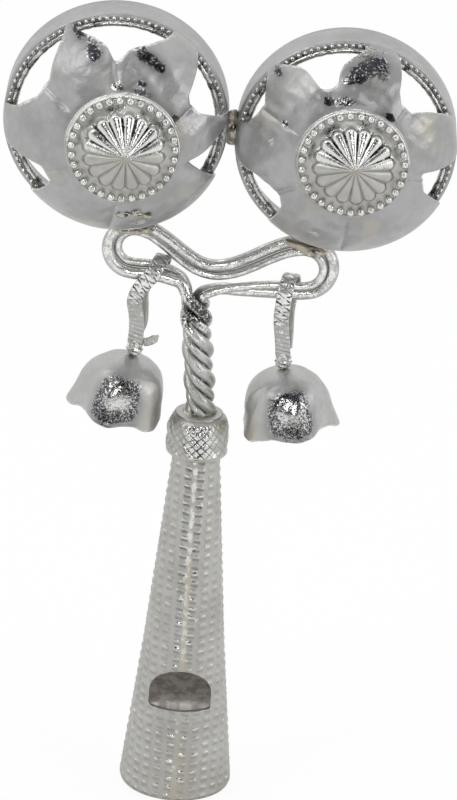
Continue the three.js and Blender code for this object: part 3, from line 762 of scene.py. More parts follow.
@dataclass
class Bow:
    """The doubled wire: a four-strand twisted stem and a bow with a loop at each end."""

    handle: Handle
    thick: float = 0.85
    thin: float = 0.6
    wire_gap: float = 0.05
    pair_tilt: float = math.radians(25)
    stem_length: float = 17.5
    stem_lean: float = math.radians(6.2)
    stem_offset: float = 0.25
    twist_pitch: float = 9.3
    strand_gap: float = 0.08
    hidden: float = 2.6
    openings: tuple[float, float] = (3.25, 3.8)
    rises: tuple[float, float] = (9.4, 8.4)
    leans: tuple[float, float] = (math.radians(12.4), math.radians(15.2))
    radii: tuple[float, float] = (15.3, 15.1)
    head_space: float = 1.05
    middle_x: float = 1.75
    seat_gap: float = 0.2
    dip_offset: float = 2.3
    dip_clear: float = 0.35

    def __post_init__(self) -> None:
        """Works out the stem's top and the width of the wire pair."""
        lean = math.tan(self.stem_lean)
        self.pitch_radius = 0.9 * (self.thick + self.thin + self.strand_gap) * math.hypot(1, 0.22)
        height = self.handle.collar_top + self.stem_length
        self.top = np.array([self.stem_offset - self.stem_length * lean, 0, height])
        self.pair = 2 * (self.thick + self.thin) + self.wire_gap

    def heads(self) -> list[tuple[float, float, float, float]]:
        """Each head's centre and the top of the loop that carries it, as (x, z, loop x, loop z)."""
        reach = [r + self.pair / 2 + self.seat_gap for r in self.radii]
        z = [self.top[2] + s + d * math.cos(a) for s, d, a in zip(self.rises, reach, self.leans)]
        apart = sum(self.radii) + self.head_space
        spread = math.sqrt(apart**2 - (z[0] - z[1]) ** 2)
        found = []
        for side, d, a, h in zip((-1, 1), reach, self.leans, z):
            x = self.middle_x + side * spread / 2
            found.append((x, h, x - side * d * math.sin(a), h - d * math.cos(a)))
        return found

    def middle(self) -> np.ndarray:
        """The line midway between the two wires, from the stem round both loops and back, as x and z."""
        (_, _, lx, lz), (_, _, rx, rz) = self.heads()
        lh, rh = (o + self.pair for o in self.openings)
        left, right = np.array([lx - 0.1, lz - lh / 2]), np.array([rx + 0.1, rz - rh / 2])
        top = self.top[[0, 2]]
        dip = top + [self.dip_offset, self.pair + self.dip_clear + 0.55]
        leave_l, leave_r = top + [-2.0, 1.9], top + [3.6, 1.05]
        foot_l, foot_r = left - [0, lh / 2], right - [0, rh / 2]
        t = np.array([0, 0.18, 0.42, 0.7])
        out = leave_l + (foot_l - leave_l) * np.stack([t, 1 - (1 - t) ** 3], 1)
        a = -math.pi / 2 - np.linspace(0, math.pi, 7)
        loop_l = left + lh / 2 * np.stack([np.cos(a), np.sin(a)], 1)
        t = np.array([0.2, 0.4, 0.6, 0.8, 1])
        down = left + [0, lh / 2] + (dip - left - [0, lh / 2]) * np.stack([t, sway(t)], 1)
        t = t[:-1]
        up = dip + (right + [0, rh / 2] - dip) * np.stack([t, sway(t)], 1)
        a = math.pi / 2 - np.linspace(0, math.pi, 7)
        loop_r = right + rh / 2 * np.stack([np.cos(a), np.sin(a)], 1)
        t = np.array([0.3, 0.58, 0.82, 1])
        back = foot_r + (leave_r - foot_r) * np.stack([t, t**1.9], 1)
        return np.vstack([out, loop_l, down, up, loop_r, back])

    def strand(self, start: float) -> np.ndarray:
        """One strand of the stem from the top down: a helix about the leaning axis."""
        length = self.stem_length + self.hidden
        steps = round(length / self.twist_pitch * 12)
        down = np.linspace(0, length, steps + 1)
        a = start + TAU * down / self.twist_pitch
        x = self.top[0] + np.minimum(down, self.stem_length) * math.tan(self.stem_lean)
        r = self.pitch_radius
        return np.stack([x + r * np.cos(a), r * np.sin(a), self.top[2] - down], 1)

    def wire(self, sense: int, offset: float) -> np.ndarray:
        """A wire's points: up one strand, along the pair's edge with its roll, and down the other strand."""
        mid = self.middle()
        n = len(mid)
        at = np.arange(n)
        along = unit(mid[np.minimum(at + 1, n - 1)] - mid[np.maximum(at - 1, 0)])
        outward = np.stack([-along[:, 1], along[:, 0]], 1)
        t = at / (n - 1)
        ends = np.clip(1 - t / 0.09, 0, None) + np.clip(1 - (1 - t) / 0.09, 0, None)
        swing = 1 - 2 * sway(np.clip((t - 0.35) / 0.3, 0, 1))
        roll = swing * (self.pair_tilt + (math.pi / 2 - self.pair_tilt) * 0.75 * ends)
        edge = mid + (sense * offset * np.cos(roll))[:, None] * outward
        bow = np.stack([edge[:, 0], -sense * offset * np.sin(roll), edge[:, 1]], 1)
        front, back = (-135, 45) if sense > 0 else (135, -45)
        return np.vstack([self.strand(math.radians(front))[::-1], bow, self.strand(math.radians(back))])

    def build(self, silver: bpy.types.Material) -> None:
        """Both wires, as round tubes along smoothed paths."""
        apart = self.thick + self.thin + self.wire_gap
        thick_offset = self.pair / 2 - self.thick
        for name, node, sense, offset, r in (
            ("outer_wire", "bow_wire_outer", 1, thick_offset, self.thick),
            ("inner_wire", "bow_wire_inner", -1, apart - thick_offset, self.thin),
        ):
            path = smooth_path(self.wire(sense, offset), 0.3)
            rings = tube(path, r, 20, (0, 1, 0))
            out = unit(rings - path[:, None])
            # facing: the cosine towards the camera and its flash
            facing = out @ unit(np.array([0.0, -0.85, 0.5]))
            in_stem = ease(self.top[2] - path[:, 2], -1.0, 1.0)[:, None]
            down = (self.top[2] - path[:, 2])[:, None]
            top = bell(down, 2.2, 2.6) * (path[:, 1] < 0)[:, None]
            # polish on the sides that face the camera is partly a painted highlight; the front of the top
            # passes takes polish too
            burnish = 0.42 * ease(facing, 0.1, 0.9) + 0.10 - 0.16 * in_stem + 0.6 * top
            middle = self.top[0] + down[:, 0] * math.tan(self.stem_lean)
            axis = np.stack([middle, 0 * middle, path[:, 2]], 1)
            inward = np.einsum("nkc,nc->nk", out, unit(axis - path)) * in_stem
            # painted shade in the crevices that face the stem's axis, painted dark reflection on the front of
            # the top passes, and a little on the stem's camera-facing side
            dark = 0.60 * ease(inward, -0.2, 0.6) + 0.62 * top + 0.16 * ease(facing, 0.55, 0.9) * in_stem
            along = np.linspace(0, len(path) * 0.3, len(path))[:, None]
            # a painted dark reflection line along the bow where the wires face the camera, broken at intervals
            streaks = ease(np.sin(along * 0.9) + 0.1, 0, 1)
            dark = dark + 0.30 * (1 - in_stem) * bell(facing, 0.62, 0.2) * streaks
            warm = 0.12 + 0.4 * in_stem * ease(-facing, -0.5, 0.3)
            skin = Skin.from_rows(rings, False, burnish, warm, dark)
            skin.piece(name, Body.RATTLE, [silver], (node,), BRIGHT)


# ---------------------------------------------------------------- heads


@dataclass(frozen=True)
class Spot:
    """A burnished place on the petals.

    It has a direction in degrees, a share of the radius, a size, a strength, how many times wider than deep it
    reaches, and the darkness of the painted dark reflection laid over it.
    """

    angle: float
    share: float
    size: float
    strength: float = 0.9
    reach: float = 1.0
    # how dark the painted dark reflection is
    dark: float = 0.85


@dataclass
class Head:
    """A hoop with a beaded rim, a flower dome of petals, and a beaded boss with a fluted rosette."""

    side: str
    x: float
    z: float
    radius: float
    cut: tuple[tuple[float, float], ...]
    creases: tuple[float, ...]
    spots: tuple[Spot, ...]
    rise: float
    flute_turn: float
    shift: tuple[float, float]
    front: float = 3.1
    hoop_depth: float = 5.2
    hoop_wall: float = 0.6
    rim_width: float = 1.4
    rim_thickness: float = 0.5
    dome: float = 0.7
    sheet: float = 0.42
    boss_share: float = 0.515
    rosette_share: float = 0.37
    flutes: int = 16
    beads: int = 31

    def matrix(self) -> Matrix:
        """The head's own frame: its front faces -Y, and its up is Z."""
        return Matrix.Translation((self.x, -self.front, self.z)) @ Matrix.Rotation(math.pi / 2, 4, "X")

    def outline(self, angle: np.ndarray) -> np.ndarray:
        """The petals' outline: the cut's shares of the radius, joined straight, rounded over three degrees."""
        stops = np.array(self.cut)
        at = np.degrees(angle) % 360
        steps = np.array([-1.5, -0.75, 0, 0.75, 1.5])
        reach = [np.interp(at + t, stops[:, 0], stops[:, 1], period=360) for t in steps]
        return np.average(reach, axis=0, weights=[1, 2, 3, 2, 1])

    def height(self, share: np.ndarray, angle: np.ndarray) -> np.ndarray:
        """The dome's height: an ellipse over the radius, with soft dents, and creases where petals overlap."""
        share, angle = np.broadcast_arrays(share, angle)
        dome = self.dome * self.radius * np.sqrt(np.clip(1 - share**2, 0, 1))
        crease = np.zeros_like(dome)
        for crease_at in self.creases:
            off = turn_gap(angle, math.radians(crease_at)) * share * self.radius
            lap = ease(off, 0.0, 0.22) * (1 - ease(off, 0.22, 6.0))
            crease += 0.22 * bell(off, 0, 0.45) + 0.40 * bell(off, 0, 2.0) - 0.24 * lap
        live = ease(share, self.boss_share - 0.02, 0.66) * (1 - ease(share, 0.86, 1))
        r = share * self.radius
        rough = dents(r * np.cos(angle), r * np.sin(angle), 3.2, int(self.x * 7) % 97)
        return dome - (crease + 0.15 * rough) * live + 0.05

    def shifted(self, rows: np.ndarray) -> np.ndarray:
        """Leans the dome: each point moves sideways by the shift times its height's share of the dome's."""
        share = rows[..., 2] / (self.dome * self.radius)
        return rows + share[..., None] * np.array([*self.shift, 0.0])

    def flower(self) -> Skin:
        """The flower: a thin sheet whose rim follows the petals' outline."""
        u = np.sin(np.linspace(0, math.pi / 2, 46))[:, None]
        angle = turns(540)[None, :]
        share = u * self.outline(angle)
        r = share * self.radius
        z = self.height(share, angle)
        curl = 0.12 * ease(u, 0.985, 1.0)
        front = self.shifted(polar(r, angle, z - curl))
        burnish, dark = np.zeros_like(r), np.zeros_like(r)
        # each spot is polish with a painted dark reflection over it
        for spot in self.spots:
            off = turn_gap(angle, math.radians(spot.angle)) * share
            wide = (off / (spot.size * spot.reach)) ** 2
            here = np.exp(-wide - ((share - spot.share) / spot.size) ** 2)
            burnish += spot.strength * here
            dark += spot.dark * here**0.45
        dark = np.minimum(dark, 0.78)
        edge = ease(u, 0.965, 1.0) * (share < 0.99)
        burnish = burnish + 0.50 * edge
        # painted shade where the petals meet the boss, on the upper side
        foot = bell(share, self.boss_share + 0.02, 0.02)
        dark = dark + 0.35 * foot * ease(np.sin(angle), -0.2, 0.8)
        low = ease(-np.sin(angle), 0.2, 0.9) * ease(share, 0.8, 0.98)
        stain = ease(dents(r * np.cos(angle), r * np.sin(angle), 7.0, int(self.x * 3) % 71), 0.2, 0.9)
        warm = 0.10 + 0.35 * low + 0.28 * stain
        return shell(front, self.sheet, burnish, warm, dark)

    def hoop(self) -> Skin:
        """The hoop: a plain band whose front edge rolls into the rim."""
        r, inner = self.radius, self.radius - self.hoop_wall
        back = -self.rim_thickness - self.hoop_depth
        a = np.linspace(0, math.pi / 2, 7)
        roll = np.stack([r - 0.55 + 0.55 * np.cos(a), -0.35 + 0.35 * np.sin(a)], 1)
        band = np.stack([np.full(8, r), np.linspace(back + 0.15, -0.5, 8)], 1)
        front = [[inner - 0.1, -0.05], [inner, -0.5]]
        foot = [[inner, back + 0.1], [inner + 0.12, back], [r - 0.15, back]]
        rows = revolve(np.vstack([band, roll, front, foot]), 180)
        return Skin.from_rows(rows, closed=True, warm=np.full(rows.shape[:2], 0.05))

    def rim(self) -> Skin:
        """The rim: a flat ring with a milled row of beads and a round inner edge."""
        r, wire, level = self.radius, 0.42, -0.22
        inner = r - self.rim_width
        a = turns(12)
        rows = revolve(np.stack([inner + wire * np.cos(a), level + wire * np.sin(a)], 1), 240)
        angle = np.arctan2(rows[..., 1], rows[..., 0])
        nick = 1 + 0.10 * np.sin(angle * 54) * np.sin(angle * 7 + 1)
        centre = polar(inner, angle, level)
        rows = centre + (rows - centre) * nick[..., None]
        # the rim wire's dark patches, placed by seeded waves, are painted dark reflections
        streak = ease(dents(rows[..., 0], rows[..., 1], 2.6, 5), -0.2, 0.9)
        ring = Skin.from_rows(rows, True, 0.5, 0.1, 0.75 * streak)
        section = np.array([[inner, -0.1], [r - 0.3, -0.1], [r - 0.3, -0.45], [inner, -0.45]])
        floor = revolve(section, 120)
        # the flat ring's dark patches are painted dark reflections too
        streak = ease(dents(floor[..., 0], floor[..., 1], 3.4, 9), -0.4, 0.4)
        plate = Skin.from_rows(floor, True, 0.4, 0.2, 0.15 + 0.75 * streak)
        return Skin.join([ring, plate, self.bead_row(r - 0.66, 96, 0.31, -0.10, 0.6)])

    @staticmethod
    def bead_row(at: float, count: int, size: float, level: float, burnish: float) -> Skin:
        """A ring of small balls.

        Args:
            at: the ring's radius.
            count: how many.
            size: a ball's radius.
            level: the height of their middles.
            burnish: their burnish.

        Returns:
            The balls, each of ten sectors by seven rings.
        """
        bead = ball(7, 10, 0.25) * size
        middles = ([at * math.cos(a), at * math.sin(a), level] for a in turns(count) + 0.07)
        return Skin.join([Skin.from_rows(bead + middle, burnish=burnish) for middle in middles])

    def boss_height(self, r: np.ndarray, angle: np.ndarray) -> np.ndarray:
        """The boss's front: a dish with a lip, and a cone of rounded flutes that ends in scallops.

        Args:
            r: distance from the middle.
            angle: direction.

        Returns:
            Height in the head's frame: the dome, plus the dish floor, plus the cone's rise times the way in,
            plus each flute's half round.
        """
        edge, size = self.boss_share * self.radius, self.rosette_share * self.radius
        dome = self.dome * self.radius * np.sqrt(1 - (r / self.radius) ** 2)
        base = dome + 0.1 - 0.10 * bell(r, size * 1.1, 0.5)
        t = ((angle - self.flute_turn) * self.flutes / TAU) % 1 * 2 - 1
        x = r / (size * (1 - 0.10 * t**2))
        cone = 0.35 + self.rise * np.clip(1 - x, 0, 1) ** 1.1
        flute = 0.62 * np.clip(x, 0, 1) ** 0.8 * (np.sqrt(1 - 0.96 * t**2) - 0.45)
        inside = (cone + flute) * (1 - ease(x, 0.93, 1.02))
        lip = 0.38 * bell(r, edge * 0.965, edge * 0.032)
        drop = 0.45 * ease(r, edge * 0.975, edge)
        return base + 0.22 + np.maximum(inside, 0) + lip - drop

    def boss(self) -> Skin:
        """The boss: its front surface closed by a back, and a ring of beads inside its lip."""
        edge = self.boss_share * self.radius
        u = np.linspace(0, 1, 84)[:, None]
        angle = turns(480)[None, :]
        r = np.broadcast_to(u * edge, (84, 480))
        z = self.boss_height(np.maximum(r, 1e-3), angle)
        front = polar(r, angle, z)
        base = self.dome * self.radius * np.sqrt(1 - (r[::-6] / self.radius) ** 2) + 0.06
        back = polar(r[::-6], angle, base)
        # up marks the boss's upper side, which gets more polish and more painted darkness: painted highlights
        # and painted shade on the top
        up = ease(np.sin(angle) * r, -0.6, 1.2)
        t = np.abs(((angle - self.flute_turn) * self.flutes / TAU) % 1 * 2 - 1)
        size = self.rosette_share * self.radius
        inside = 1 - ease(r / size, 0.9, 1.0)
        patches = dents(r * np.cos(angle), r * np.sin(angle), 3.0, int(self.x * 5) % 89)
        burnish = up * (0.50 * inside + 0.24) + 0.25 * bell(r, edge * 0.97, 0.4) * up
        burnish = burnish + 0.12 + 0.10 * patches * up
        # trench: painted shade round the rosette's foot; groove: painted shade in the flutes' grooves
        trench = bell(r, size * 1.06, 0.42) * ease(patches + up, 0.4, 1.1)
        groove = ease(t + 0.15 * patches, 0.60, 1.0) * ease(r, 0.3, 1.4)
        dark = inside * (0.12 + 0.58 * up) * groove + (0.35 + 0.55 * up) * trench
        # a painted shade ring between the beads and the lip, in patches
        dark = dark + 0.5 * bell(r, edge * 0.935, 0.22) * ease(patches, 0.0, 0.6)
        warm = 0.12 + 0.5 * bell(r, 0, 0.9) * (1 - up)
        looks = [np.concatenate([v, np.zeros(back.shape[:2])]) for v in (burnish, warm, dark)]
        plate = Skin.from_rows(self.shifted(np.concatenate([front, back])), False, *looks)
        at = edge * 0.885
        level = float(self.boss_height(np.array(at), np.array(0.0)))
        beads = self.bead_row(at, self.beads, 0.57, level + 0.15, 0.55)
        beads.verts = self.shifted(beads.verts)
        return Skin.join([plate, beads])

    def build(self, frosted: bpy.types.Material, beaded: bpy.types.Material) -> None:
        """Makes the head's four pieces."""
        for name, skin, material, slot in (
            ("hoop", self.hoop(), frosted, SATIN),
            ("rim", self.rim(), beaded, BEADED),
            ("flower", self.flower(), frosted, SATIN),
            ("boss", self.boss(), beaded, BEADED),
        ):
            node = f"{self.side}_head_{name}"
            skin.placed(self.matrix()).piece(f"{self.side}_{name}", Body.RATTLE, [material], (node,), slot)


# ---------------------------------------------------------------- hangers


@dataclass
class Hanger:
    """A strap looped over the wires, its folded knot and its bell.

    The bell leans by the tilt, widens on its outer side by the flare, and out is which side that is. The
    strap's top is pushed sideways by top_shift, and its back end may curl out as a tail.
    """

    side: str
    body: Body
    pivot: tuple[float, float, float]
    lean: float
    drop: float
    tilt: float
    flare: float
    out: int
    top_shift: float
    tail: bool
    loop_rise: float
    width: float = 2.15
    thickness: float = 0.45
    yaw: float = math.radians(14)
    loop_radius: float = 2.1
    leg_gap: float = 0.3
    knot_height: float = 1.8
    bell_height: float = 8.2
    bell_radius: float = 6.65
    bell_wall: float = 0.4
    lobes: int = 5
    back_short: float = 1.0
    ring_step: float = 0.1

    def matrix(self) -> Matrix:
        """The hanger's own frame, at its pivot on the wires."""
        return Matrix.Translation(self.pivot) @ Matrix.Rotation(self.lean, 4, "Y")

    def push(self, z: np.ndarray) -> np.ndarray:
        """How far sideways the strap is pushed at a height: out at its top, and the other way below."""
        bow = -0.55 * self.top_shift
        return self.top_shift * ease(z, -3.5, self.loop_radius + 0.5) + bow * bell(z, -4.0, 2.6)

    def leg(self, side: int, reach: float, t: np.ndarray) -> np.ndarray:
        """Points on one leg of the strap, which closes from the loop's radius to its foot as t goes to 1."""
        foot = self.foot
        out = foot + (self.loop_radius - foot) * (1 - t**1.5)
        return np.stack([self.push(-reach * t), side * out, -reach * t], 1)

    @property
    def foot(self) -> float:
        """How far the strap's legs are from its middle at their feet."""
        return (self.leg_gap + self.thickness) / 2

    def strap_path(self) -> np.ndarray:
        """The strap's middle line: up the front, over the wires and down the back."""
        t = np.array([1, 0.8, 0.6, 0.4, 0.2])
        a = math.pi - np.linspace(0, math.pi, 9)
        r, rise = self.loop_radius * np.sin(a), self.loop_rise * np.sin(a)
        over = np.stack([self.push(r), self.loop_radius * np.cos(a), rise], 1)
        end = self.drop - self.back_short
        points = [self.leg(-1, self.drop, t), over, self.leg(1, end, t[::-1])]
        if self.tail:
            curl = ((0.4, -0.6), (1.2, -0.8), (2.1, -0.3), (2.9, 0.6))
            points.append(np.array([[x, self.foot, z - end] for x, z in curl]))
        return smooth_path(np.vstack(points), self.ring_step)

    def strap(self) -> Skin:
        """The strap: a rounded strip along its path, with crossed cuts near the top and fine ridges below.

        Its section is a superellipse of the strap's width and thickness. The outer face is cut by |sin| waves
        that cross in the run along the strip and the way across it.
        """
        path = self.strap_path()
        n = len(path)
        run = np.linspace(0, n * self.ring_step, n)
        tangent = unit(np.gradient(path, axis=0))
        side = unit(np.array([1.0, 0, 0]) - tangent * tangent[:, :1])
        face = np.cross(side, tangent)
        wide = np.full(n, self.width)
        if self.tail:
            left = run[-1] - run
            neck, tip = 1 - 0.25 * bell(left, 4.0, 1.1), 0.35 + 0.65 * ease(left, 0, 0.7)
            wide = wide * (1 - 0.45 * ease(3.9 - left, 0, 1.0)) * neck * tip
        a = turns(40)
        across, deep = superellipse(np.cos(a), 0.45), superellipse(np.sin(a), 0.45)
        z, run = path[:, 2][:, None], run[:, None]
        wave = np.minimum(*(np.abs(np.sin(run * 2.6 + way * across * 1.35)) for way in (1, -1)))
        cuts = (1 - ease(wave, 0.05, 0.45)) * ease(z, -6.2, -4.2) * 0.10
        ridges = (0.5 + 0.5 * np.sin(run * 9 + across * 1.5)) * (1 - ease(z, -6.0, -4.4)) * 0.05
        outer = ease(deep, 0.2, 0.8)[None, :]
        depth = self.thickness / 2 * deep[None, :] - outer * (cuts + ridges)
        half = wide[:, None] / 2 * across[None, :]
        rows = path[:, None] + half[..., None] * side[:, None] + depth[..., None] * face[:, None]
        swing = Matrix.Rotation(-self.yaw, 4, "Z")
        # glint: patches that get polish and a painted dark reflection
        glint = ease(dents(run * 2, across * 2, 2.2, 4), 0, 0.8)
        burnish = 0.35 * bell(z, -1.0, 3.2) + 0.22 * outer + 0.2 * glint
        # painted shade in the crossed cuts and between the ridges, and painted dark reflection in the glint
        # patches near the top
        dark = outer * (0.8 * cuts / 0.10 + 0.45 * ridges / 0.05 * glint)
        dark = dark + 0.35 * glint * bell(z, -2.0, 2.5)
        warm = 0.12 + 0.2 * ease(-z, 6, 11) + 0 * rows[..., 0]
        return Skin.from_rows(rows, False, burnish, warm, dark).placed(swing)

    def knot(self) -> Skin:
        """The knot: a folded diamond-cut end over the bell's crown, faceted by eight flats that twist."""
        h = np.linspace(0, 1, 9)
        r = np.interp(h, [0, 0.1, 0.35, 0.55, 0.8, 1], [0.75, 0.95, 1.15, 1.0, 0.95, 0.7])
        rows = revolve(np.stack([r, -self.drop - 1.9 + h * 2.6], 1), 8)
        rows[..., 1] *= 0.8
        rows[1::2, ::2, :2] *= 1.12
        return Skin.from_rows(rows, False, 0.5, 0.25, 0.4)

    def bell_rows(self) -> tuple[np.ndarray, np.ndarray, np.ndarray, np.ndarray]:
        """The bell's outside: a domed profile with lobes that deepen towards a wavy, slightly folded mouth.

        Returns:
            The rings, and the burnish, warmth and darkness at each point.
        """
        stops = (0, 0), (0.26, -0.025), (0.52, -0.11), (0.75, -0.28), (0.88, -0.5), (0.93, -0.72), (1, -1)
        curve = smooth_path(np.column_stack([np.array(stops), np.zeros(len(stops))]), 0.02)
        at = np.linspace(0, 1, 64)
        share = np.linspace(0, 1, len(curve))
        p = np.stack([np.interp(at, share, curve[:, k]) for k in range(2)], 1)
        u = at[:, None]
        angle = turns(240)[None, :]
        wave = np.cos(self.lobes * (angle if self.out > 0 else angle - math.pi))
        fold = np.sin(angle * 3 + 1.2 * self.out) + 0.6 * np.sin(angle * 7 + 2.0)
        ripple = np.sin(angle * 13 + 0.7) * np.sin(angle * 4)
        r = self.bell_radius * p[:, :1] * (1 + 0.05 * wave * u**2 + 0.012 * fold * u**2)
        rough = dents(np.cos(angle) * 6 + u * 7, np.sin(angle) * 6 - u * 3, 4.0, 30 + self.out)
        r = r + 0.14 * rough * ease(u, 0.2, 0.5)
        lean = 1 + self.flare * self.out * np.cos(angle) * u
        z = self.bell_height * p[:, 1:] - (0.35 * wave + 0.16 * fold + 0.08 * ripple) * u**5
        rows = polar(r * lean, angle, z)
        # patch: the front place that faces the camera; its polish gets a painted dark reflection of the
        # camera's opening round a lighter middle, the painted reflection of the flash
        gap = turn_gap(angle, FRONT + 0.12 * self.out)
        away = ((gap / 0.60) ** 4 + ((u - 0.72) / 0.31) ** 4) ** 0.25
        patch = ease(1.15 - away, 0, 0.6) * (1 - ease(u, 0.95, 1.0))
        burnish = 0.95 * patch + 0.45 * ease(u, 0.975, 1) * (1 - patch)
        flash_spot = np.exp(-((gap / 0.30) ** 2) - ((u - 0.72) / 0.13) ** 2)
        dark = ease(1.3 - away, 0, 0.5) * (0.70 - 0.56 * flash_spot)
        dark = dark + 0.3 * bell(u, 0.985, 0.01) * ease(np.sin(angle * 9), 0.2, 1)
        warm = 0.06 + 0.35 * bell(gap, 0.95, 0.35) * ease(u, 0.3, 0.6) * (self.out < 0)
        warm = warm + 0.35 * bell(gap, -0.95, 0.3) * ease(u, 0.35, 0.6) * (self.out > 0)
        warm = warm + 0.35 * bell(u, 0.1, 0.12)
        return rows, burnish, warm, dark

    def build(self, frosted: bpy.types.Material, bright: bpy.types.Material) -> None:
        """Makes the strap, the knot and the bell."""
        rows, *looks = self.bell_rows()
        crown = -self.drop - 0.05 - self.knot_height - 0.05 - 0.12
        cup = Matrix.Translation((0, 0, crown)) @ Matrix.Rotation(self.tilt, 4, "Y")
        for name, skin, material, slot in (
            ("strap", self.strap(), bright, BRIGHT),
            ("knot", self.knot(), bright, BRIGHT),
            ("bell", shell(rows, self.bell_wall, *looks).placed(cup), frosted, SATIN),
        ):
            node, smooth = f"{self.side}_{name}", name != "knot"
            skin.placed(self.matrix()).piece(f"{node}_piece", self.body, [material], (node,), slot, smooth)


# ---------------------------------------------------------------- solder


@dataclass
class Solder:
    """The lumps of solder: between the heads, at their seats, in the collar and on the left head's petal."""

    bow: Bow

    def build(self, solder: bpy.types.Material) -> None:
        """Makes each joint's lumps. The drips sit on the petal's outer face, and stop inside its wall."""
        bow = self.bow
        (lx, lz, lox, loz), (rx, rz, rox, roz) = bow.heads()
        share = (bow.radii[0] + bow.head_space / 2) / (sum(bow.radii) + bow.head_space)
        mid = np.array([lx + (rx - lx) * share, -0.6, lz + (rz - lz) * share])
        filler = lump(np.array([0.2, 0.0, bow.handle.collar_top - 0.35]), (2.7, 2.7, 0.75), 23, 0.08)
        filler.piece("collar_filler", Body.RATTLE, [solder], (), SOLDER)
        drips = [
            lump(np.array(middle), (wide, 0.36, 0.38), seed, 0.2)
            for middle, wide, seed in (
                ((-11.9, -11.32, 90.6), 1.0, 31),
                ((-10.2, -11.37, 91.0), 0.7, 32),
                ((-8.9, -10.97, 90.6), 0.8, 33),
            )
        ]
        Skin.join(drips).piece("petal_drips", Body.RATTLE, [solder], (), SOLDER)
        joints = {
            "heads_solder": [
                lump(mid, (1.0, 2.2, 2.3), 3, 0.12),
                lump(mid + [0.15, -1.7, -0.5], (1.25, 1.0, 1.3), 5, 0.16),
                lump(mid + [-0.1, -1.5, 1.2], (0.9, 0.8, 0.8), 8, 0.16),
            ]
        }
        for side, x, z, wide, turn, seed in (
            ("left", lox, loz, 2.9, -0.2, 11),
            ("right", rox, roz, 3.0, 0.25, 17),
        ):
            spin = Matrix.Translation((x, 0, z)) @ Matrix.Rotation(turn, 4, "Y")
            lumps = [
                lump(np.array([0, -0.6, 0.1]), (wide, 1.7, 0.75), seed, 0.12),
                lump(np.array([0.9, -1.6, 0.0]), (wide * 0.5, 0.9, 0.7), seed + 1, 0.16),
            ]
            joints[f"{side}_seat_solder"] = [s.placed(spin) for s in lumps]
        for node, parts in joints.items():
            Skin.join(parts).piece(f"{node}_lumps", Body.RATTLE, [solder], (node,), SOLDER)


# ---------------------------------------------------------------- studio


@dataclass
class Studio:
    """The camera, a pale floor and a light tent with the dark opening that the camera looks through."""

    target: tuple[float, float, float] = (3.97, 0, 59.4)
    distance: float = 742.0
    elevation: float = math.radians(23.7)
    roll: float = math.radians(4.0)
    focal: float = 5320.0
    picture: tuple[int, int] = (457, 800)
    sensor: float = 36.0

    def back(self) -> Vector:
        """The direction from the object to the camera."""
        return Vector((0, -math.cos(self.elevation), math.sin(self.elevation)))

    def camera(self) -> None:
        """Places the camera: its right and up are turned by the roll about the line of sight."""
        back, right = self.back(), Vector((1, 0, 0))
        up = back.cross(right)
        c, s = math.cos(self.roll), math.sin(self.roll)
        x, y = right * c + up * s, up * c - right * s
        turn = Matrix((x, y, back)).transposed().to_4x4()
        place = (Vector(self.target) + back * self.distance) * MM
        data = bpy.data.cameras.new("camera")
        data.sensor_fit, data.sensor_height = "VERTICAL", self.sensor
        data.lens = self.focal / self.picture[1] * self.sensor
        data.clip_start, data.clip_end = 0.01, 20.0
        obj = add_object("camera", data)
        obj.matrix_world = Matrix.Translation(place) @ turn
        bpy.context.scene.camera = obj

    def world(self) -> None:
        """The tent: pale all round, dark towards the camera's opening, and white where the camera sees it."""
        world = bpy.data.worlds.new("tent")
        bpy.context.scene.world = world
        world.use_nodes = True
        net = Net(world.node_tree)
        where = net.node("ShaderNodeTexCoord", out="Generated")
        facing = net.towards(where, self.back())
        cosine = lambda degrees: math.cos(math.radians(degrees))  # noqa: E731
        height = net.towards(where, (0, 0, 1)).step(-0.3, 1.0, 0.92, 1.08)
        glow = net.noise(where, 420.0, 1.5).step(0.34, 0.66, 0.76, 1.20)
        tent = height * glow * (1 - facing.step(cosine(46), cosine(32)) * 0.93)
        flash = facing.step(cosine(9), cosine(5)) * 9.0
        seen = net.node("ShaderNodeLightPath", out="Is Camera Ray")
        level = (tent + flash) * (1 - seen) + seen
        sky = net.node("ShaderNodeBackground", {}, {"Color": (1, 1, 1, 1), "Strength": level})
        net.node("ShaderNodeOutputWorld", {}, {"Surface": sky})

    def floor(self) -> None:
        """A pale floor: the camera sees mostly its own white, and a little of its shading for the shadow."""
        mesh = bpy.data.meshes.new("floor")
        half = 2.5
        corners = [(-half, -half, 0), (half, -half, 0), (half, half, 0), (-half, half, 0)]
        mesh.from_pydata(corners, [], [(0, 1, 2, 3)])
        obj = add_object("floor", mesh)
        obj.location = (0, 0, -0.0003)
        material, net = new_material("pale_floor")
        path = net.node("ShaderNodeLightPath", out="Is Camera Ray")
        lit = net.node("ShaderNodeBsdfDiffuse", {}, {"Color": (0.9, 0.9, 0.9, 1)})
        white = net.node("ShaderNodeEmission", {}, {"Color": (1, 1, 1, 1), "Strength": 1.0})
        mixed = net.node("ShaderNodeMixShader", {}, {0: path * 0.92, 1: lit, 2: white})
        net.node("ShaderNodeOutputMaterial", {}, {"Surface": mixed})
        mesh.materials.append(material)

    def lamp(self, name: str, place: tuple[float, float, float], size: float, watts: float) -> None:
        """A square soft lamp that faces the target."""
        data = bpy.data.lights.new(name, "AREA")
        data.size, data.energy = size, watts
        obj = add_object(name, data)
        obj.location = place
        aim = Vector(self.target) * MM - Vector(place)
        obj.rotation_euler = aim.to_track_quat("-Z", "Y").to_euler()

    def build(self) -> None:
        """Makes the camera, tent, floor and lamps."""
        self.camera()
        self.world()
        self.floor()
        self.lamp("key", (-0.5, -0.35, 0.75), 0.25, 0.9)
        self.lamp("fill", (0.6, -0.3, 0.35), 0.3, 0.5)
